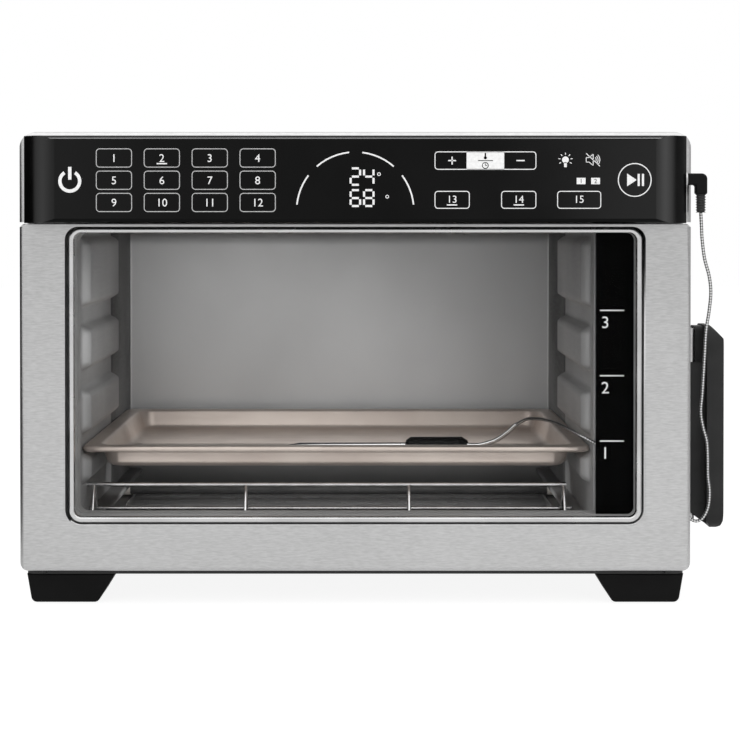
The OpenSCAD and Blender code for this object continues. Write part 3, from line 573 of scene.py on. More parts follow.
def pressed_steel():
    made = finish("pressed_steel", grey(0.4), 0.55, metal=0.6)
    tree = made.node_tree
    place = add(tree, "ShaderNodeTexCoord").outputs["Object"]
    back = add(tree, "ShaderNodeSeparateXYZ", {"Vector": place}).outputs["Y"]
    # The wall's rear, behind the pads, is darkened in its colour: painted shade where the side walls meet
    # the back wall.
    rear_from, rear_to, painted_rear_shade = mm(0, 213, 0).y, mm(0, 217, 0).y, 0.55
    rear = add(tree, "ShaderNodeMapRange", {"Value": back, 1: rear_from, 2: rear_to, 3: 0.0, 4: painted_rear_shade})
    cloud = noise(made, (7, 7, 5), 4)
    kept = add(tree, "ShaderNodeMath", {0: cloud, 1: rear.outputs[0]}, operation="SUBTRACT").outputs[0]
    ramp = add(tree, "ShaderNodeMapRange", {"Value": kept, 1: -0.2, 2: 0.7, 3: 0.03, 4: 0.44}).outputs[0]
    shade = add(tree, "ShaderNodeCombineColor", {0: ramp, 1: ramp, 2: ramp})
    into(made, "Base Color", shade.outputs[0])
    lines = noise(made, (900, 40, 900), 3)
    into(made, "Roughness", spread(made, lines, 0.5, 0.6))
    relief(made, lines, strength=0.03, depth_mm=0.1)
    return made


def smooth_sheet(name, level, metal, rough):
    return marked(name, grey(level), rough=rough, metal=metal, per_metre=(20, 90, 90), detail=3,
                  tints=(grey(level * 0.9), grey(level * 1.1)), rough_range=(rough * 0.85, rough * 1.15))


def bright_trim():
    return marked("bright_trim", grey(0.55), rough=0.25, metal=1.0, per_metre=(30, 30, 30), detail=2,
                  tints=(grey(0.5), grey(0.62)), rough_range=(0.2, 0.3))


print("steel finishes ready")

# %% [markdown]
# The black parts differ mostly in how they shine. The touch panel is a gloss moulding whose ends catch
# the room, the feet and spool have a fine spark-eroded grain, and the rear cover and base are powder
# coated sheet.

# %% Black finishes


def gloss_panel():
    return marked("gloss_panel", grey(0.0004), rough=0.2, specular=0.08, per_metre=(18, 18, 18), detail=3,
                  tints=(grey(0.0003), grey(0.0005)), rough_range=(0.17, 0.23))


def grained_plastic(name, level):
    made = finish(name, grey(level), 0.5, specular=0.1)
    grain = noise(made, (2200, 2200, 2200), 2)
    cloud = noise(made, (30, 30, 30), 2)
    tint(made, cloud, grey(level * 0.8), grey(level * 1.2))
    into(made, "Roughness", spread(made, grain, 0.42, 0.6))
    relief(made, grain, strength=0.25, depth_mm=0.08)
    return made


def powder_black():
    made = finish("powder_black", grey(0.02), 0.5, specular=0.35)
    grain = noise(made, (1200, 1200, 1200), 3)
    tint(made, noise(made, (9, 9, 9), 2), grey(0.016), grey(0.026))
    into(made, "Roughness", spread(made, grain, 0.4, 0.6))
    relief(made, grain, strength=0.2, depth_mm=0.1)
    return made


def soft_rubber():
    return marked("soft_rubber", grey(0.03), rough=0.75, specular=0.25, per_metre=(900, 900, 900), detail=2,
                  tints=(grey(0.022), grey(0.04)), bump=(0.2, 0.1))


def printed_black():
    return marked("printed_black", grey(0.0005), rough=0.6, specular=0.01, per_metre=(300, 300, 300),
                  detail=2, tints=(grey(0.0002), grey(0.0008)))


print("black finishes ready")

# %% [markdown]
# Glass has to let the studio light into the cavity, so it is a thin, nearly clear sheet that keeps its
# gloss. The quartz heaters are milky, the lamp lens is frosted, and the ceramic ends are chalky. The
# pan's aluminium is a little warm, with streaks from rolling and years of use.

# %% Glass, ceramic and aluminium


def clear_glass():
    made = finish("clear_glass", grey(0.02), 0.03, specular=0.5, alpha=0.03)
    into(made, "Roughness", spread(made, noise(made, (25, 25, 25), 3), 0.02, 0.07))
    return made


def milky_quartz():
    return marked("milky_quartz", grey(0.7), rough=0.3, alpha=0.45, per_metre=(8, 200, 200), detail=2,
                  tints=((0.62, 0.58, 0.55), (0.8, 0.78, 0.76)))


def dark_sheath():
    return marked("dark_sheath", grey(0.06), rough=0.45, metal=0.6, per_metre=(40, 200, 200), detail=3,
                  tints=(grey(0.045), grey(0.08)))


def frosted_lens():
    made = finish("frosted_lens", (0.85, 0.82, 0.76), 0.45, alpha=0.8)
    relief(made, noise(made, (700, 700, 700), 2), strength=0.4, depth_mm=0.15)
    return made


def chalky_ceramic():
    return marked("chalky_ceramic", (0.34, 0.32, 0.3), rough=0.7, per_metre=(600, 600, 600), detail=3,
                  tints=((0.3, 0.28, 0.26), (0.38, 0.36, 0.33)), bump=(0.3, 0.1))


def pan_aluminium():
    made = finish("pan_aluminium", (0.66, 0.59, 0.54), 0.4, metal=0.85)
    rolled = noise(made, (6, 220, 220), 3)
    tone_variation = noise(made, (22, 22, 22), 5)
    tint(made, tone_variation, (0.57, 0.49, 0.44), (0.69, 0.61, 0.55))
    into(made, "Roughness", spread(made, rolled, 0.3, 0.44))
    relief(made, rolled, strength=0.05, depth_mm=0.2)
    return made


def cast_aluminium():
    return marked("cast_aluminium", grey(0.55), rough=0.45, metal=1.0, per_metre=(500, 500, 500), detail=3,
                  tints=(grey(0.48), grey(0.62)), bump=(0.2, 0.1))


def chromed_wire():
    return marked("chromed_wire", grey(0.66), rough=0.16, metal=1.0, per_metre=(90, 90, 90), detail=3,
                  tints=(grey(0.56), grey(0.74)), rough_range=(0.1, 0.26))


def zinc_steel():
    return marked("zinc_steel", grey(0.5), rough=0.35, metal=1.0, per_metre=(120, 120, 120), detail=2,
                  tints=(grey(0.42), grey(0.58)), rough_range=(0.28, 0.45))


def circuit_board():
    return marked("circuit_board", (0.02, 0.12, 0.05), rough=0.4, per_metre=(400, 400, 400), detail=1,
                  tints=((0.012, 0.08, 0.03), (0.03, 0.16, 0.07)))


print("clear, ceramic and metal finishes ready")

# %% [markdown]
# The record already says which slot each node takes its finish from, so one table from slot to finish
# dresses every solid that stays. A few solids have a finish of their own.

# %% Dress the solids
finishes = {
    "stainless": brushed_stainless(), "bright_rim": bright_trim(), "liner_steel": satin_liner(),
    "black_metal": powder_black(), "black_plastic": grained_plastic("grained_plastic", level=0.004),
    "rubber_grey": soft_rubber(), "gloss_black": gloss_panel(), "clear_glass": clear_glass(),
    "lamp_glass": frosted_lens(), "quartz": milky_quartz(), "heater_sheath": dark_sheath(),
    "ceramic_white": chalky_ceramic(), "plain_steel": zinc_steel(), "fan_aluminium": cast_aluminium(),
    "pan_aluminium": pan_aluminium(), "chromed_wire": chromed_wire(), "printed_black": printed_black(),
    "circuit_board": circuit_board(), "probe_steel": probe_steel,
}
for part in frame["record"]["subparts"]:
    if part["material_slot"] in finishes:
        solid = node[part["node"]].data
        solid.materials.clear()
        solid.materials.append(finishes[part["material_slot"]])
wall_finish = pressed_steel()
node["crumb_tray"].data.materials[0] = smooth_sheet("smooth_tray", level=0.5, metal=0.8, rough=0.25)
node["cable_spool"].data.materials[0] = grained_plastic("spool_plastic", level=0.028)
frame_finish = smooth_sheet("smooth_frame", level=0.36, metal=0.3, rough=0.55)
node["door_inner_frame"].data.materials[0] = frame_finish
node["rim_web"].data.materials[0] = frame_finish

# %% [markdown]
# The side walls of the cavity are one sheet of steel, pressed so that long pads stand out of it and carry
# the trays between them. A press never leaves a sharp edge, so the height of the wall is a formula:
# inside each pad's rounded outline it climbs smoothly to its full rise. A low step behind the pads and a
# folded ledge for the heater guard finish the sheet. Solidify gives the sheet its thickness.

# %% Pressed side walls
wall_low, wall_high = low_mm("liner_left"), high_mm("liner_left")
sheet_mm = 1.0
left_face = wall_low.x + sheet_mm
right_face = high_mm("liner_right").x - sheet_mm
bead = 2.2
play = 0.2
ledge_top = low_mm("heater_guard").z - play
tray_rest = pan_top - 2 * bead - play
level_pitch = 44.3
slot_high = 12
lowest_pad = 22
pad_rise = 7.0
pad_slope = 5.0
pad_corner = 6.0
pad_front, pad_back = 50, 214
step_rise, step_gap, step_slope = 0.9, 1, 3
wall_top = 249
slot_tops = [tray_rest + level_pitch * k + slot_high for k in range(3)]
pad_bands = [(tray_rest - lowest_pad, tray_rest)]
pad_bands += [(slot_tops[k], tray_rest + level_pitch * (k + 1)) for k in (0, 1)]
pad_bands += [(slot_tops[2], wall_top)]
print("pads", [(round(a, 1), round(b, 1)) for a, b in pad_bands])

# %% The wall's height as a formula


def ease(t):
    t = max(0.0, min(1.0, t))
    return t * t * (3 - 2 * t)


def inside_pad(y, z, band):
    half = Vector(((pad_back - pad_front) / 2 - pad_corner, (band[1] - band[0]) / 2 - pad_corner))
    off = Vector((abs(y - (pad_back + pad_front) / 2) - half.x, abs(z - (band[0] + band[1]) / 2) - half.y))
    outside = Vector((max(off.x, 0), max(off.y, 0))).length
    return pad_corner - outside - min(max(off.x, off.y), 0)


def wall_height(y, z):
    pads = max(ease(inside_pad(y, z, band) / pad_slope) for band in pad_bands) * pad_rise
    return max(pads, step_rise * ease((y - pad_back - step_gap) / step_slope))


print("rise in the middle of a pad", wall_height((pad_front + pad_back) / 2, sum(pad_bands[0]) / 2), "mm")

# %% Build the two walls
wall_step_y, wall_step_z = 2.4, 2.0


def steps_between(low, high, size):
    count = max(1, round((high - low) / size))
    return [low + (high - low) * i / count for i in range(count + 1)]


def give_gauge(piece, thick_mm):
    gauge = piece.modifiers.new("gauge", "SOLIDIFY")
    gauge.thickness = thick_mm / 1000
    gauge.offset = -1


def pressed_wall(name, face, inward):
    shape = bmesh.new()
    ys = steps_between(wall_low.y, wall_high.y, wall_step_y)
    zs = steps_between(wall_low.z, wall_high.z, wall_step_z)
    grid = [[shape.verts.new(mm(face + inward * wall_height(y, z), y, z)) for z in zs] for y in ys]
    skin(shape, [row[::-inward] for row in grid], flip=True)
    wall = new_piece(name, mesh_of(name, shape, shade_smooth=True), wall_finish, "housing")
    give_gauge(wall, sheet_mm)
    return wall


wall_left = pressed_wall("pressed_wall_left", left_face, 1)
wall_right = pressed_wall("pressed_wall_right", right_face, -1)
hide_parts("liner_left")
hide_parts("liner_right")
print("wall faces", len(wall_left.data.polygons), len(wall_right.data.polygons))

# %% Ledges for the heater guard, folded from strip
ledge_reach, ledge_deep, ledge_nose = 13.0, 4.0, 1.6
ledge_short = 11


def folded_ledge(name, face, inward):
    shape = bmesh.new()
    nose = ledge_nose
    tip, foot = ledge_reach - nose, ledge_top - ledge_deep
    bend = [(math.cos(a), math.sin(a)) for a in quarter_turn(4)]
    outline = [(0, foot)]
    outline += [(tip + nose * s, foot + nose - nose * c) for c, s in bend]
    outline += [(tip + nose * c, ledge_top - nose + nose * s) for c, s in bend]
    outline += [(0, ledge_top)]
    ends = [[shape.verts.new(mm(face + inward * u, y, z)) for u, z in outline]
            for y in (pad_front, wall_high.y - ledge_short)]
    skin(shape, ends, closed=True)
    cap_ends(shape, ends)
    return new_piece(name, mesh_of(name, shape), wall_finish, "housing")


folded_ledge("rack_ledge_left", left_face, 1)
folded_ledge("rack_ledge_right", right_face, -1)
print("ledges at", round(ledge_top, 1))

# %% [markdown]
# The back wall is a plain sheet whose two upright edges curl forward to meet the side walls, and those
# curls catch a thin line of light. It is one outline seen from above, carried up the wall.

# %% Back wall with curled edges
back_low, back_high = low_mm("liner_back"), high_mm("liner_back")
curl = 3.0
row_high = 30


def curled_back_wall():
    shape = bmesh.new()
    bend = quarter_turn(6)
    front = back_low.y - curl
    path = [(back_low.x + curl - curl * math.cos(a), front + curl * math.sin(a)) for a in bend]
    path += [(back_high.x - curl + curl * math.sin(a), front + curl * math.cos(a)) for a in bend]
    heights = steps_between(back_low.z, back_high.z, row_high)
    skin(shape, [[shape.verts.new(mm(x, y, z)) for x, y in path] for z in heights])
    mesh = mesh_of("curled_back_wall", shape, shade_smooth=True)
    wall = new_piece("curled_back_wall", mesh, finishes["liner_steel"], "housing")
    give_gauge(wall, sheet_mm)
    return wall


back_wall = curled_back_wall()
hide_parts("liner_back")
print("back wall faces", len(back_wall.data.polygons))

# %% [markdown]
# The baking pan is drawn from one sheet: a flat floor, a soft bend up into a flared wall, a flat rim and
# an edge rolled over a wire. That is one section, from the floor outwards, carried round a rounded
# rectangle whose corner radius changes from step to step. Solidify gives the sheet its gauge.

# %% Drawn baking pan
pan_low, pan_high = low_mm("baking_pan"), high_mm("baking_pan")
pan_gauge = 1.0
rim_flat = 12.0
flare = 5.0
corner_at = ((0, 10), (4.4, 6.5), (12, 13), (17, 8), (40, 4))
floor_bend = 5.0
floor_lap = 14
rim_bend = 2.5
roll_end = 400
floor_z = pan_low.z + pan_gauge


def arc(cx, cz, radius, start, end, count):
    turns = [math.radians(start + (end - start) * k / count) for k in range(count + 1)]
    return [(cx + radius * math.cos(a), cz + radius * math.sin(a)) for a in turns]


def pan_section():
    rise = pan_high.z - floor_z
    lean = math.degrees(math.atan2(rise, flare))
    foot = rim_flat + flare + floor_bend * math.tan(math.radians(lean / 2))
    head = rim_flat - rim_bend * math.tan(math.radians(lean / 2))
    section = [(foot + floor_lap, floor_z)]
    section += arc(foot, floor_z + floor_bend, floor_bend, -90, -90 - lean, 6)
    section += arc(head, pan_high.z - rim_bend, rim_bend, 90 - lean, 90, 5)
    section += arc(bead, pan_high.z - bead, bead, 90, roll_end, 18)
    return section


section = pan_section()
print("pan section", len(section), "points")

# %% Carry the section round the pan


def corner_radius(inset):
    for (a, ra), (b, rb) in zip(corner_at, corner_at[1:]):
        if inset <= b:
            return ra + (rb - ra) * (inset - a) / (b - a)
    return corner_at[-1][1]


def round_path(inset, corner_steps=10):
    radius = corner_radius(inset)
    x0, x1 = pan_low.x + inset, pan_high.x - inset
    y0, y1 = pan_low.y + inset, pan_high.y - inset
    centres = ((x1 - radius, y1 - radius, 0), (x0 + radius, y1 - radius, 90),
               (x0 + radius, y0 + radius, 180), (x1 - radius, y0 + radius, 270))
    path = []
    for cx, cy, start in centres:
        path += arc(cx, cy, radius, start, start + 90, corner_steps)
    return path


def drawn_pan():
    shape = bmesh.new()
    rings = [[shape.verts.new(mm(x, y, z)) for x, y in round_path(inset)] for inset, z in section]
    skin(shape, rings, closed=True, flip=True)
    shape.faces.new(rings[0])
    mesh = mesh_of("drawn_pan", shape, shade_smooth=True)
    pan = new_piece("drawn_pan", mesh, finishes["pan_aluminium"], "pan")
    give_gauge(pan, pan_gauge)
    return pan


pan = drawn_pan()
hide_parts("baking_pan")
print("pan faces", len(pan.data.polygons))

# %% [markdown]
# The feet are moulded wedges whose lower corners are well rounded, so that they don't mark a worktop. One
# outline seen from the front, with its two lower corners turned into arcs, is carried back and its edges
# are softened.

# %% Moulded feet
foot_corner = 4.0
foot_lean_out, foot_lean_in = 3.3, 12
foot_edge = 1.2


def corner_arc(before, corner, after, radius, count):
    u = (Vector(before) - Vector(corner)).normalized()
    v = (Vector(after) - Vector(corner)).normalized()
    half = u.angle(v) / 2
    centre = Vector(corner) + (u + v).normalized() * radius / math.sin(half)
    start = Vector(corner) + u * radius / math.tan(half) - centre
    end = Vector(corner) + v * radius / math.tan(half) - centre
    return [tuple(centre + radius * start.slerp(end, k / count)) for k in range(count + 1)]


def soften(shape, edges, radius_mm, segments):
    bmesh.ops.bevel(shape, geom=edges, offset=radius_mm / 1000, segments=segments, profile=0.5,
                    affect="EDGES")


def moulded_foot(place, outer):
    low, high = low_mm("foot_" + place), high_mm("foot_" + place)
    wide = high.x - low.x
    outline = [(0, high.z), (foot_lean_out, low.z), (wide - foot_lean_in, low.z), (wide, high.z)]
    rounded = [outline[0]]
    rounded += corner_arc(outline[0], outline[1], outline[2], foot_corner, 6)
    rounded += corner_arc(outline[1], outline[2], outline[3], foot_corner, 6)
    rounded += [outline[3]]
    shape = bmesh.new()
    side = low.x if outer < 0 else high.x
    ends = [[shape.verts.new(mm(side - outer * u, y, z)) for u, z in rounded] for y in (low.y, high.y)]
    skin(shape, ends, closed=True)
    caps = cap_ends(shape, ends)
    soften(shape, [edge for cap in caps for edge in cap.edges], foot_edge, 3)
    mesh = mesh_of("moulded_foot_" + place, shape)
    foot = new_piece("moulded_foot_" + place, mesh, finishes["black_plastic"], "housing")
    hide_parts("foot_" + place)


for row in ("front", "rear"):
    moulded_foot(row + "_left", -1)
    moulded_foot(row + "_right", 1)
print("feet at", round(low_mm("foot_front_left").z, 2), "mm")

# %% [markdown]
# The plug is a small moulded elbow with soft edges, and below it a boot whose rings let it bend. The
# elbow is one outline with its edges bevelled. The boot is a turned profile: a nearly straight sleeve
# with seven rings.

# %% Moulded plug and ringed boot
plug_low, plug_high = low_mm("probe_plug"), high_mm("probe_plug")
boot_low, boot_high = low_mm("plug_boot"), high_mm("plug_boot")
plug_x = cord_start[0]
plug_y = cord_start[1]
plug_half = 3.9
plug_cut = 2.2
plug_edge = 1.3
plug_gap = 0.8
plug_drop = 0.4
boot_r, boot_taper = 3.45, 0.15
boot_rings, ring_deep = 7, 0.8


def moulded_plug():
    shape = bmesh.new()
    top = plug_high.z - plug_drop
    bottom = plug_low.z
    shoulder = top - 2 * plug_half
    near, left, right = panel_high.x + plug_gap, plug_x - plug_half, plug_x + plug_half
    outline = [(near, top), (near, shoulder), (left, shoulder), (left, bottom), (right, bottom),
               (right, top - plug_cut), (right - plug_cut, top)]
    ends = [[shape.verts.new(mm(x, y, z)) for x, z in outline]
            for y in (plug_y - plug_half, plug_y + plug_half)]
    skin(shape, ends, closed=True)
    cap_ends(shape, ends)
    soften(shape, shape.edges[:], plug_edge, 3)
    mesh = mesh_of("moulded_plug", shape)
    return new_piece("moulded_plug", mesh, finishes["black_plastic"], "housing")


def ringed_boot():
    shape = bmesh.new()
    count, sides = 98, 28
    rings = []
    for i in range(count + 1):
        t = i / count
        groove = ring_deep * math.sin(math.pi * ((t * boot_rings) % 1)) ** 2
        radius = boot_r - boot_taper * t - groove
        z = boot_high.z + (boot_low.z - boot_high.z) * t
        rings.append([shape.verts.new(mm(plug_x + radius * math.cos(a), plug_y + radius * math.sin(a), z))
                      for a in round_turn(sides)])
    skin(shape, rings, closed=True)
    cap_ends(shape, rings)
    mesh = mesh_of("ringed_boot", shape, shade_smooth=True)
    return new_piece("ringed_boot", mesh, finishes["rubber_grey"], "housing")


plug = moulded_plug()
boot = ringed_boot()
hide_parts("probe_plug")
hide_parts("plug_boot")
print("plug faces", len(plug.data.polygons), "boot faces", len(boot.data.polygons))

# %% [markdown]
# Below and right of the window the door's skin is bent inwards, and that small round edge catches the
# light. The bend is a quarter circle, carried from the left corner along the bottom and up the right
# side.

# %% The skin's round edge at the window
rim_low, rim_high = low_mm("window_rim"), high_mm("window_rim")
rim_corner = 8.7
lip_gap = 2.3
lip_r = 1.5
lip_corner = rim_corner + lip_gap
lip_short = 2
lip_gauge = 0.6


def window_lip():
    shape = bmesh.new()
    x0, x1 = rim_low.x - lip_gap, rim_high.x + lip_gap
    z0, z1 = rim_low.z - lip_gap, rim_high.z - lip_short
    rows = []
    for a in quarter_turn(6):
        inset, y = lip_r * math.sin(a), lip_r * (1 - math.cos(a))
        bend = lip_corner - inset
        path = arc(x0 + lip_corner, z0 + lip_corner, bend, 225, 270, 6)
        path += arc(x1 - lip_corner, z0 + lip_corner, bend, 270, 360, 8)
        path += [(x1 - inset, z1)]
        rows.append([shape.verts.new(mm(x, y, z)) for x, z in path])
    skin(shape, rows)
    mesh = mesh_of("window_lip", shape, shade_smooth=True)
    lip = new_piece("window_lip", mesh, finishes["stainless"], "door")
    give_gauge(lip, lip_gauge)
    return lip


lip = window_lip()
print("lip faces", len(lip.data.polygons))

# %% [markdown]
# The strip that closes the door's top is folded so sharply that its front shows as a bright line under
# the panel. It is the door's outline seen from above, carried up in a few rows, each drawn in a little
# where the fold is.

# %% Folded strip on top of the door
cap_low, cap_high = low_mm("door_cap"), high_mm("door_cap")
cap_gap = 0.5
cap_top = panel_low.z - cap_gap
cap_fold = 0.3
cap_foot = 0.8
cap_end = 3.0
door_corner = 4.0


def round_off(z, radius):
    depth = min(radius, max(0.0, z - (cap_top - radius)))
    return radius - math.sqrt(radius * radius - depth * depth)


def folded_cap():
    shape = bmesh.new()
    heights = [cap_low.z, cap_low.z + cap_foot]
    heights += [cap_top - below for below in (0.6, 0.3, 0.15, 0.05, 0.0)]
    rows = []
    for z in heights:
        x0, x1 = cap_low.x + round_off(z, cap_end), cap_high.x - round_off(z, cap_end)
        y0 = cap_low.y + round_off(z, cap_fold)
        path = [(x0, cap_high.y)]
        path += arc(x0 + door_corner, y0 + door_corner, door_corner, 180, 270, 8)
        path += arc(x1 - door_corner, y0 + door_corner, door_corner, 270, 360, 8)
        path += [(x1, cap_high.y)]
        rows.append([shape.verts.new(mm(x, y, z)) for x, y in path])
    skin(shape, rows, closed=True)
    cap_ends(shape, rows)
    return new_piece("folded_cap", mesh_of("folded_cap", shape), finishes["stainless"], "door")


cap = folded_cap()
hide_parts("door_cap")
print("cap faces", len(cap.data.polygons), "top at", round(cap_top, 2))

# %% [markdown]
# The spool's core ends in two thin webs that carry its flange and hide the steel bracket behind them.
# Each is one outline seen from the front, given a thickness, with its edges softened.

# %% Webs under the spool's core
spool_low = low_mm("cable_spool")
arm_low, arm_high = low_mm("spool_bracket"), high_mm("spool_bracket")
web_thick = 3.4
web_gap = 0.4
web_high = 22
web_edge = 0.5
web_in, web_out = 0.3, 8


def spool_webs():
    shape = bmesh.new()
    left, right = spool_low.x + web_in, arm_high.x + web_out
    foot = spool_low.z
    outline = [(left, foot + web_high), (left, foot + 14), (arm_high.x - 3, foot + 10.5),
               (arm_high.x + 1, foot + 7.5), (right, foot + 2.5), (right, foot + web_high)]
    for y0 in (arm_low.y - web_gap - web_thick, arm_high.y + web_gap):
        ends = [[shape.verts.new(mm(x, y, z)) for x, z in outline] for y in (y0, y0 + web_thick)]
        skin(shape, ends, closed=True)
        cap_ends(shape, ends)
    soften(shape, shape.edges[:], web_edge, 2)
    spool_finish = node["cable_spool"].data.materials[0]
    return new_piece("spool_webs", mesh_of("spool_webs", shape), spool_finish, "housing")


webs = spool_webs()
print("web faces", len(webs.data.polygons))

# %% [markdown]
# Printed marks are thin slabs of ink on the panel's face. A band between two edges is enough for every
# block, line, ring and frame, and a numeral comes from Blender's own type. They collect in one mesh for
# each place that carries print. The keys carry plain numbers, because this part has no names on it.

# %% Builders for print
ink_mm = 0.06
pin_hole = 0.01
type_cap = 0.7
panel_face = panel_low.y


class Print:
    def __init__(self, surface_y):
        self.shape = bmesh.new()
        self.front = surface_y - ink_mm
        self.back = surface_y + ink_mm / 2

    def band(self, left, right, closed=False):
        corners = []
        for (ax, az), (bx, bz) in zip(left, right):
            spots = ((ax, self.front, az), (bx, self.front, bz), (bx, self.back, bz), (ax, self.back, az))
            corners.append([self.shape.verts.new(mm(*spot)) for spot in spots])
        skin(self.shape, corners + corners[:1] if closed else corners, closed=True)
        if not closed:
            self.shape.faces.new(corners[0])
            self.shape.faces.new(corners[-1])

    def block(self, x0, z0, x1, z1):
        self.band([(x0, z1), (x1, z1)], [(x0, z0), (x1, z0)])

    def line(self, x0, z0, x1, z1, width):
        run = Vector((x1 - x0, z1 - z0)).normalized() * width / 2
        self.band([(x0 - run.y, z0 + run.x), (x1 - run.y, z1 + run.x)],
                  [(x0 + run.y, z0 - run.x), (x1 + run.y, z1 - run.x)])

    def ring(self, x, z, radius, width, start=0, end=360):
        closed = end - start == 360
        count = max(6, round((end - start) / 8))
        outer = arc(x, z, radius, start, end, count)
        inner = arc(x, z, radius - width, start, end, count)
        if closed:
            outer, inner = outer[:-1], inner[:-1]
        self.band(outer, inner, closed)

    def disc(self, x, z, radius):
        self.ring(x, z, radius, radius - pin_hole)

    def frame(self, x0, z0, x1, z1, radius, width):
        outer, inner = [], []
        for cx, cz, start in ((x1 - radius, z1 - radius, 0), (x0 + radius, z1 - radius, 90),
                              (x0 + radius, z0 + radius, 180), (x1 - radius, z0 + radius, 270)):
            outer += arc(cx, cz, radius, start, start + 90, 5)
            inner += arc(cx, cz, radius - width, start, start + 90, 5)
        self.band(outer, inner, True)

    def numeral(self, text, x, z, height):
        curve = bpy.data.curves.new("numeral", "FONT")
        curve.body = text
        curve.size = height / 1000 / type_cap
        curve.align_x = "CENTER"
        curve.extrude = ink_mm / 2000
        curve.resolution_u = 3
        holder = bpy.data.objects.new("numeral", curve)
        mesh = bpy.data.meshes.new_from_object(holder)
        base = mm(x, self.front + ink_mm / 2, z - height / 2)
        for vertex in mesh.vertices:
            flat = vertex.co.copy()
            vertex.co = base + Vector((flat.x, -flat.z, flat.y))
        self.shape.from_mesh(mesh)
        bpy.data.meshes.remove(mesh)
        bpy.data.objects.remove(holder)
        bpy.data.curves.remove(curve)

    def piece(self, name, made, body, slot):
        bmesh.ops.remove_doubles(self.shape, verts=self.shape.verts, dist=1e-7)
        bmesh.ops.recalc_face_normals(self.shape, faces=self.shape.faces)
        return new_piece(name, mesh_of(name, self.shape), made, body)


def flat_ink(name, level, dark, light):
    return marked(name, grey(level), rough=0.6, specular=0.2, per_metre=(500, 500, 500), detail=2,
                  tints=(grey(dark), grey(light)))


ink = flat_ink("white_ink", level=0.78, dark=0.7, light=0.82)
outline_ink = flat_ink("grey_ink", level=0.45, dark=0.4, light=0.5)
print("print builders ready")

# %% [markdown]
# The twelve programme keys are one rounded outline in rows and columns, which is work for Geometry Nodes:
# a grid of points, a filleted rectangle on each, and a thin flat strip along its line. The tree has named
# inputs for its sizes, so another panel needs only other numbers.

# %% Helpers for Geometry Nodes


def new_tree(name, inputs):
    tree = bpy.data.node_groups.new(name, "GeometryNodeTree")
    tree.interface.new_socket(name="Geometry", in_out="INPUT", socket_type="NodeSocketGeometry")
    for label, kind in inputs.items():
        tree.interface.new_socket(name=label, in_out="INPUT", socket_type="NodeSocket" + kind)
    tree.interface.new_socket(name="Geometry", in_out="OUTPUT", socket_type="NodeSocketGeometry")
    return tree, tree.nodes.new("NodeGroupInput").outputs


def close_tree(tree, geometry, made):
    whole = add(tree, "GeometryNodeRealizeInstances", {"Geometry": geometry})
    dressed = add(tree, "GeometryNodeSetMaterial", {"Geometry": whole.outputs[0], "Material": made})
    add(tree, "NodeGroupOutput", {0: dressed.outputs[0]})


def grow(name, tree, values, points, body):
    mesh = bpy.data.meshes.new(name)
    mesh.from_pydata(points, [], [])
    holder = bpy.data.objects.new(name, mesh)
    bpy.context.collection.objects.link(holder)
    modifier = holder.modifiers.new("grow", "NODES")
    modifier.node_group = tree
    for item in tree.interface.items_tree:
        if item.in_out == "INPUT" and item.name in values:
            modifier[item.identifier] = values[item.name]
    bpy.context.view_layer.update()
    ready = holder.evaluated_get(bpy.context.evaluated_depsgraph_get())
    grown = bpy.data.meshes.new_from_object(ready)
    bpy.data.objects.remove(holder)
    return new_piece(name, grown, None, body)


print("tree helpers ready")

# %% Programme keys
key_w, key_h, key_corner, key_line = 23.2, 12.0, 2.2, 0.55
key_pitch_x, key_pitch_z = 31.45, 14.6
first_key = (-158.4, 301.2)


def key_tree():
    tree, given = new_tree("key_outlines", {"Width": "Float", "Height": "Float", "Corner": "Float",
                                            "Line": "Float", "Thickness": "Float", "Ink": "Material"})
    outline = add(tree, "GeometryNodeCurvePrimitiveQuadrilateral",
                  {0: given["Width"], 1: given["Height"]})
    soft = add(tree, "GeometryNodeFilletCurve", {"Curve": outline.outputs[0], "Radius": given["Corner"],
                                                 "Count": 5}, mode="POLY")
    profile = add(tree, "GeometryNodeCurvePrimitiveQuadrilateral",
                  {0: given["Line"], 1: given["Thickness"]})
    strip = add(tree, "GeometryNodeCurveToMesh", {0: soft.outputs[0], 1: profile.outputs[0]})
    upright = add(tree, "GeometryNodeTransform", {0: strip.outputs[0], "Rotation": (math.pi / 2, 0, 0)})
    keys = add(tree, "GeometryNodeInstanceOnPoints", {0: given["Geometry"], "Instance": upright.outputs[0]})
    close_tree(tree, keys.outputs[0], given["Ink"])
    return tree


key_places = [(first_key[0] + key_pitch_x * col, first_key[1] - key_pitch_z * row)
              for row in range(3) for col in range(4)]
key_spots = [mm(x, panel_face - ink_mm / 4, z) for x, z in key_places]
key_sizes = {"Width": key_w / 1000, "Height": key_h / 1000, "Corner": key_corner / 1000,
             "Line": key_line / 1000, "Thickness": ink_mm / 1000, "Ink": outline_ink}
keys = grow("programme_keys", key_tree(), key_sizes, key_spots, "housing")
print("key faces", len(keys.data.polygons))

# %% [markdown]
# The rest of the print is drawn sign by sign, in millimetres on the panel's face. White ink makes the
# numbers and signs, and where a sign stands on a white block it is drawn in the panel's own black, one
# layer of ink further out.

# %% Numbers and signs on the panel
signs = Print(panel_face)
dark_signs = Print(panel_face - ink_mm)
key_text = 5.2
for number, (x, z) in enumerate(key_places, 1):
    signs.numeral(str(number), x, z, key_text)
dash_half, dash_z, stroke = 3.4, 297.5, 0.8
dash_x = key_places[1][0]
signs.line(dash_x - dash_half, dash_z, dash_x + dash_half, dash_z, stroke)

power_x, power_z = -187.4, 286.0
power_r, power_stroke = 7.6, 2.2
signs.ring(power_x, power_z, power_r, power_stroke, 122, 418)
signs.line(power_x, power_z + 1.0, power_x, power_z + 9.4, power_stroke)

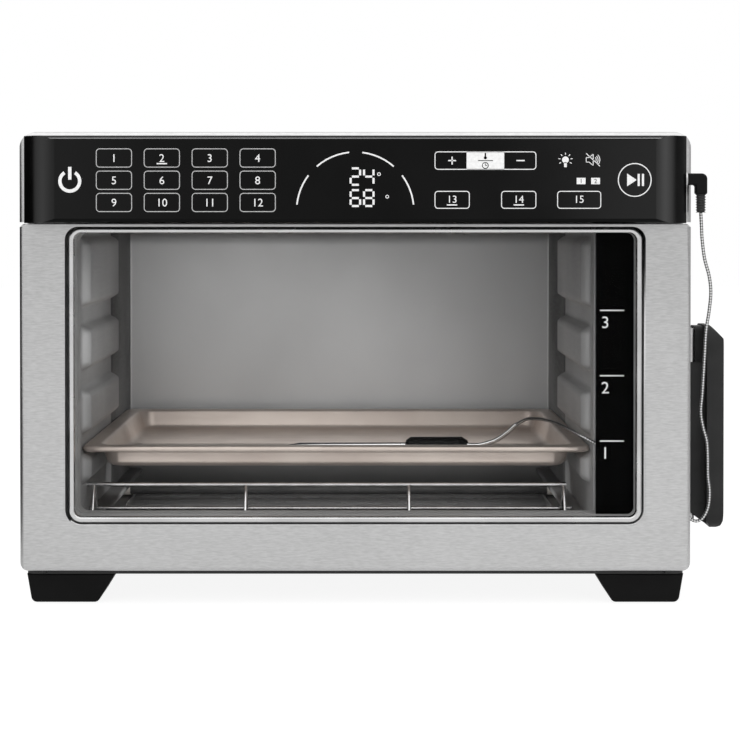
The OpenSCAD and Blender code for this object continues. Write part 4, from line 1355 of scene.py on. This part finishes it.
dial_z, dial_r, dial_stroke = 266.6, 39.0, 1.0
for start, end in ((6, 37), (49, 83), (96, 131), (143, 174)):
    signs.ring(0, dial_z, dial_r, dial_stroke, start, end)
print("keys and dial", len(signs.shape.faces), "faces")

# %% Setting keys
setting_left, setting_right = 52.1, 118.9
setting_low, setting_high = 293.5, 305.5
setting_z = 299.5
white_left, white_right, white_edge = 73.1, 97.8, 0.2
plus_x, plus_half = 63.6, 2.6
minus_x, minus_half = 108.5, 2.7
signs.frame(setting_left, setting_low, setting_right, setting_high, key_corner, key_line)
signs.block(white_left, setting_low + white_edge, white_right, setting_high - white_edge)
signs.line(plus_x - plus_half, setting_z, plus_x + plus_half, setting_z, stroke)
signs.line(plus_x, setting_z - plus_half, plus_x, setting_z + plus_half, stroke)
signs.line(minus_x - minus_half, setting_z, minus_x + minus_half, setting_z, stroke)

sign_x = 85.4
bulb_z, clock_z = setting_z + 1.8, setting_z - 3.2
dark_signs.line(sign_x - 4.8, setting_z, sign_x + 4.9, setting_z, 0.5)
dark_signs.line(sign_x, bulb_z, sign_x, setting_z + 5.0, 0.9)
dark_signs.disc(sign_x, bulb_z, 1.0)
dark_signs.ring(sign_x, clock_z, 2.2, 0.5)
dark_signs.line(sign_x, clock_z - 0.1, sign_x, clock_z + 1.5, 0.4)
dark_signs.line(sign_x - 0.1, clock_z, sign_x + 1.2, clock_z, 0.4)
print("setting keys", len(signs.shape.faces), "faces")

# %% Lower keys
low_key_low, low_key_high = 267.9, 279.6
low_text, low_text_z, low_dash_z = 4.8, 274.2, 270.4
low_numbers = ((63.6, "13"), (107.4, "14"), (147.0, "15"))
for x0, x1 in ((setting_left, 75.2), (95.8, setting_right), (132.6, 161.5)):
    signs.frame(x0, low_key_low, x1, low_key_high, key_corner, key_line)
for x, number in low_numbers:
    signs.numeral(number, x, low_text_z, low_text)
for x, number in low_numbers[:2]:
    signs.line(x - dash_half, low_dash_z, x + dash_half, low_dash_z, stroke)

block_half, block_low, block_high = 2.9, 284.0, 288.2
block_text, block_text_z = 2.9, 286.1
for x, number in ((148.3, "1"), (157.8, "2")):
    signs.block(x - block_half, block_low, x + block_half, block_high)
    dark_signs.numeral(number, x, block_text_z, block_text)
print("lower keys", len(signs.shape.faces), "faces")

# %% Lamp, sound and start signs
bulb_x, icon_z = 138.0, 300.0
ray_from, ray_to = 3.3, 4.7
signs.disc(bulb_x, icon_z, 2.2)
signs.line(bulb_x, icon_z - 1.6, bulb_x, icon_z - 4.8, 1.8)
for turn in range(-30, 211, 40):
    u, w = math.cos(math.radians(turn)), math.sin(math.radians(turn))
    signs.line(bulb_x + ray_from * u, icon_z + ray_from * w, bulb_x + ray_to * u, icon_z + ray_to * w, 0.5)

horn_x, horn_stroke = 156.0, 0.45
horn = [(-4.4, 1.5), (-2.4, 1.5), (0.2, 3.8), (0.2, -3.8), (-2.4, -1.5), (-4.4, -1.5), (-4.4, 1.5)]
for (x0, z0), (x1, z1) in zip(horn, horn[1:]):
    signs.line(horn_x + x0, icon_z + z0, horn_x + x1, icon_z + z1, horn_stroke)
for reach in (2.4, 3.6, 4.8):
    signs.ring(horn_x, icon_z, reach, horn_stroke, -46, 46)
signs.line(horn_x - 4.4, icon_z + 4.2, horn_x + 4.6, icon_z - 4.2, 0.5)

start_x, start_z, start_r = 183.5, 286.8, 11.1
signs.ring(start_x, start_z, start_r, 0.65)
signs.band([(start_x - 5, start_z + 4.2), (start_x + 1, start_z + 0.2)],
           [(start_x - 5, start_z - 4.2), (start_x + 1, start_z - 0.2)])
for x in (start_x + 2.6, start_x + 5.4):
    signs.line(x, start_z - 4, x, start_z + 4, 1.4)
print("signs", len(signs.shape.faces), "faces")

# %% [markdown]
# The display's digits have seven bars each. A bar runs between two points of the digit and stops a little
# short of both, and every digit is a choice of bars.

# %% Two rows of seven-segment digits
segments_of = {"0": "abcdef", "1": "bc", "2": "abged", "3": "abgcd", "4": "fgbc", "5": "afgcd",
               "6": "afgedc", "7": "abc", "8": "abcdefg", "9": "abcdfg"}
digit_w, digit_gap, digit_stroke = 6.2, 2.6, 1.4
bar_short = 0.8
digits_x = -3.0


def seven_segment(text, z, height):
    half = height / 2
    bars = {"a": (0, half, 1, half), "g": (0, 0, 1, 0), "d": (0, -half, 1, -half), "f": (0, half, 0, 0),
            "b": (1, half, 1, 0), "e": (0, 0, 0, -half), "c": (1, 0, 1, -half)}
    for i, digit in enumerate(text):
        left = digits_x + i * (digit_w + digit_gap)
        for name in segments_of[digit]:
            u0, w0, u1, w1 = bars[name]
            run = Vector((u1 - u0, w1 - w0)).normalized() * bar_short
            signs.line(left + u0 * digit_w + run.x, z + w0 + run.y,
                       left + u1 * digit_w - run.x, z + w1 - run.y, digit_stroke)


seven_segment("24", 289.0, 10.8)
seven_segment("68", 274.9, 10.4)
for x, z in ((15.6, 290.6), (21.0, 275.8)):
    signs.ring(x, z, 1.2, 0.5)
panel_signs = signs.piece("panel_signs", ink, "housing", "gloss_black")
dark_signs.piece("panel_dark_signs", finishes["gloss_black"], "housing", "gloss_black")
print("panel signs", len(panel_signs.data.polygons), "faces")

# %% [markdown]
# The strip on the window numbers the three levels: a short line at the top of each slot between the pads,
# and a number under it. They ride on the door.

# %% Level marks behind the glass
strip_low = low_mm("guide_strip")
print_gap = 0.02
levels = Print(strip_low.y - print_gap)
mark_from, mark_to, mark_stroke = strip_low.x + 2.8, strip_low.x + 19.1, 0.9
level_x, level_drop, level_text = strip_low.x + 6.4, 8, 8.0
for number, level in enumerate(slot_tops, 1):
    levels.line(mark_from, level, mark_to, level, mark_stroke)
    levels.numeral(str(number), level_x, level - level_drop, level_text)
level_marks = levels.piece("level_marks", ink, "door", "printed_black")
print("level marks", len(level_marks.data.polygons), "faces")

# %% [markdown]
# Each quartz tube holds a wound wire. A spiral in a tree of its own gives the coil, and one point for
# each tube says where it lies.

# %% Heater coils
heater_low, heater_high = low_mm("upper_heaters"), high_mm("upper_heaters")
quartz_r = 4.5
coil_gap = 3
coil_turns, coil_r, coil_wire = 90.0, 2.6, 0.4


def coil_tree():
    tree, given = new_tree("heater_coils", {"Turns": "Float", "Radius": "Float", "Length": "Float",
                                            "Wire": "Float", "Metal": "Material"})
    spiral = add(tree, "GeometryNodeCurveSpiral", {
        "Resolution": 8, "Rotations": given["Turns"], "Start Radius": given["Radius"],
        "End Radius": given["Radius"], "Height": given["Length"]})
    wire = add(tree, "GeometryNodeCurvePrimitiveCircle", {"Resolution": 4, "Radius": given["Wire"]})
    coil = add(tree, "GeometryNodeCurveToMesh", {0: spiral.outputs[0], 1: wire.outputs[0], 2: True})
    lying = add(tree, "GeometryNodeTransform", {0: coil.outputs[0], "Rotation": (0, math.pi / 2, 0)})
    rows = add(tree, "GeometryNodeInstanceOnPoints", {0: given["Geometry"], "Instance": lying.outputs[0]})
    close_tree(tree, rows.outputs[0], given["Metal"])
    return tree


def dark_wire():
    return marked("dark_wire", (0.18, 0.15, 0.13), rough=0.5, metal=1.0, per_metre=(300, 300, 300),
                  detail=2, tints=((0.13, 0.11, 0.1), (0.24, 0.2, 0.17)))


coil_long = heater_high.x - heater_low.x - 2 * coil_gap
coil_spots = [mm(heater_low.x + coil_gap, y, (heater_low.z + heater_high.z) / 2)
              for y in (heater_low.y + quartz_r, heater_high.y - quartz_r)]
coil_sizes = {"Turns": coil_turns, "Radius": coil_r / 1000, "Length": coil_long / 1000,
              "Wire": coil_wire / 1000, "Metal": dark_wire()}
coils = grow("heater_coils", coil_tree(), coil_sizes, coil_spots, "housing")
print("coil faces", len(coils.data.polygons))

# %% [markdown]
# From behind, the cover is a black sheet with rows of slots. A press that cuts such a slot also lifts a
# small hood over it, so one hood is made and a tree sets it over each slot. The same tree puts the cross
# recess into each screw head.

# %% One hood and one recess
slot_w = 60
hood_over, hood_ends = 1.5, 7
hood_rise, hood_top, hood_high = 3.2, 6.2, 5
hood_lift, hood_gauge, hood_step = 0.1, 0.8, 5
recess_arm, recess_half = 2.3, 0.5


def hood_mesh():
    shape = bmesh.new()
    half = slot_w / 2 + hood_over
    rows = []
    for x in steps_between(-half, half, hood_step):
        full = ease((half - abs(x)) / hood_ends)
        bend = [(hood_rise * full * math.sin(a) + hood_lift, hood_top - hood_high * (1 - math.cos(a)))
                for a in quarter_turn(4)]
        rows.append([shape.verts.new((x / 1000, y / 1000, z / 1000)) for y, z in bend])
    skin(shape, rows)
    bmesh.ops.solidify(shape, geom=shape.faces[:], thickness=hood_gauge / 1000)
    bmesh.ops.remove_doubles(shape, verts=shape.verts, dist=1e-6)
    bmesh.ops.recalc_face_normals(shape, faces=shape.faces)
    return mesh_of("slot_hood", shape, shade_smooth=True)


def recess_mesh():
    shape = bmesh.new()
    arm, half = recess_arm, recess_half
    outline = [(half, half), (half, arm), (-half, arm), (-half, half), (-arm, half), (-arm, -half),
               (-half, -half), (-half, -arm), (half, -arm), (half, -half), (arm, -half), (arm, half)]
    ends = [[shape.verts.new((x / 1000, y / 1000, z / 1000)) for x, z in outline] for y in (-0.2, 0.06)]
    skin(shape, ends, closed=True)
    cap_ends(shape, ends)
    return mesh_of("cross_recess", shape)


slot_hood = hood_mesh()
cross_recess = recess_mesh()
print("hood faces", len(slot_hood.polygons), "recess faces", len(cross_recess.polygons))

# %% Hoods over the rear slots and recesses in the screws
cover_back = high_mm("rear_cover").y
slot_pitch_x, slot_pitch_z = 90, 12
first_slot = (-165, low_mm("header_fascia").z - 82)
screw_back = high_mm("rear_screws").y
screw_x = side_x - 14
base_top = high_mm("base_pan").z
oven_top = high_mm("outer_wrap").z
screw_heights = (base_top + 12, (base_top + oven_top) / 2, oven_top - 14)


def scatter_tree():
    tree, given = new_tree("set_on_spots", {"Shape": "Object", "Finish": "Material"})
    shape = add(tree, "GeometryNodeObjectInfo", {"Object": given["Shape"]}).outputs["Geometry"]
    set_down = add(tree, "GeometryNodeInstanceOnPoints", {0: given["Geometry"], "Instance": shape})
    close_tree(tree, set_down.outputs[0], given["Finish"])
    return tree


on_spots = scatter_tree()


def scatter(name, mesh, made, spots):
    pattern = bpy.data.objects.new(name + "_shape", mesh)
    piece = grow(name, on_spots, {"Shape": pattern, "Finish": made}, spots, "housing")
    bpy.data.objects.remove(pattern)
    return piece


hood_spots = [mm(first_slot[0] + slot_pitch_x * col + slot_w / 2, cover_back,
                 first_slot[1] + slot_pitch_z * row) for col in range(4) for row in range(8)]
hoods = scatter("rear_hoods", slot_hood, finishes["black_metal"], hood_spots)
screw_spots = [mm(hand * screw_x, screw_back, z) for hand in (-1, 1) for z in screw_heights]
recesses = scatter("screw_recesses", cross_recess, finishes["black_plastic"], screw_spots)
print("hoods", len(hoods.data.polygons), "recesses", len(recesses.data.polygons))
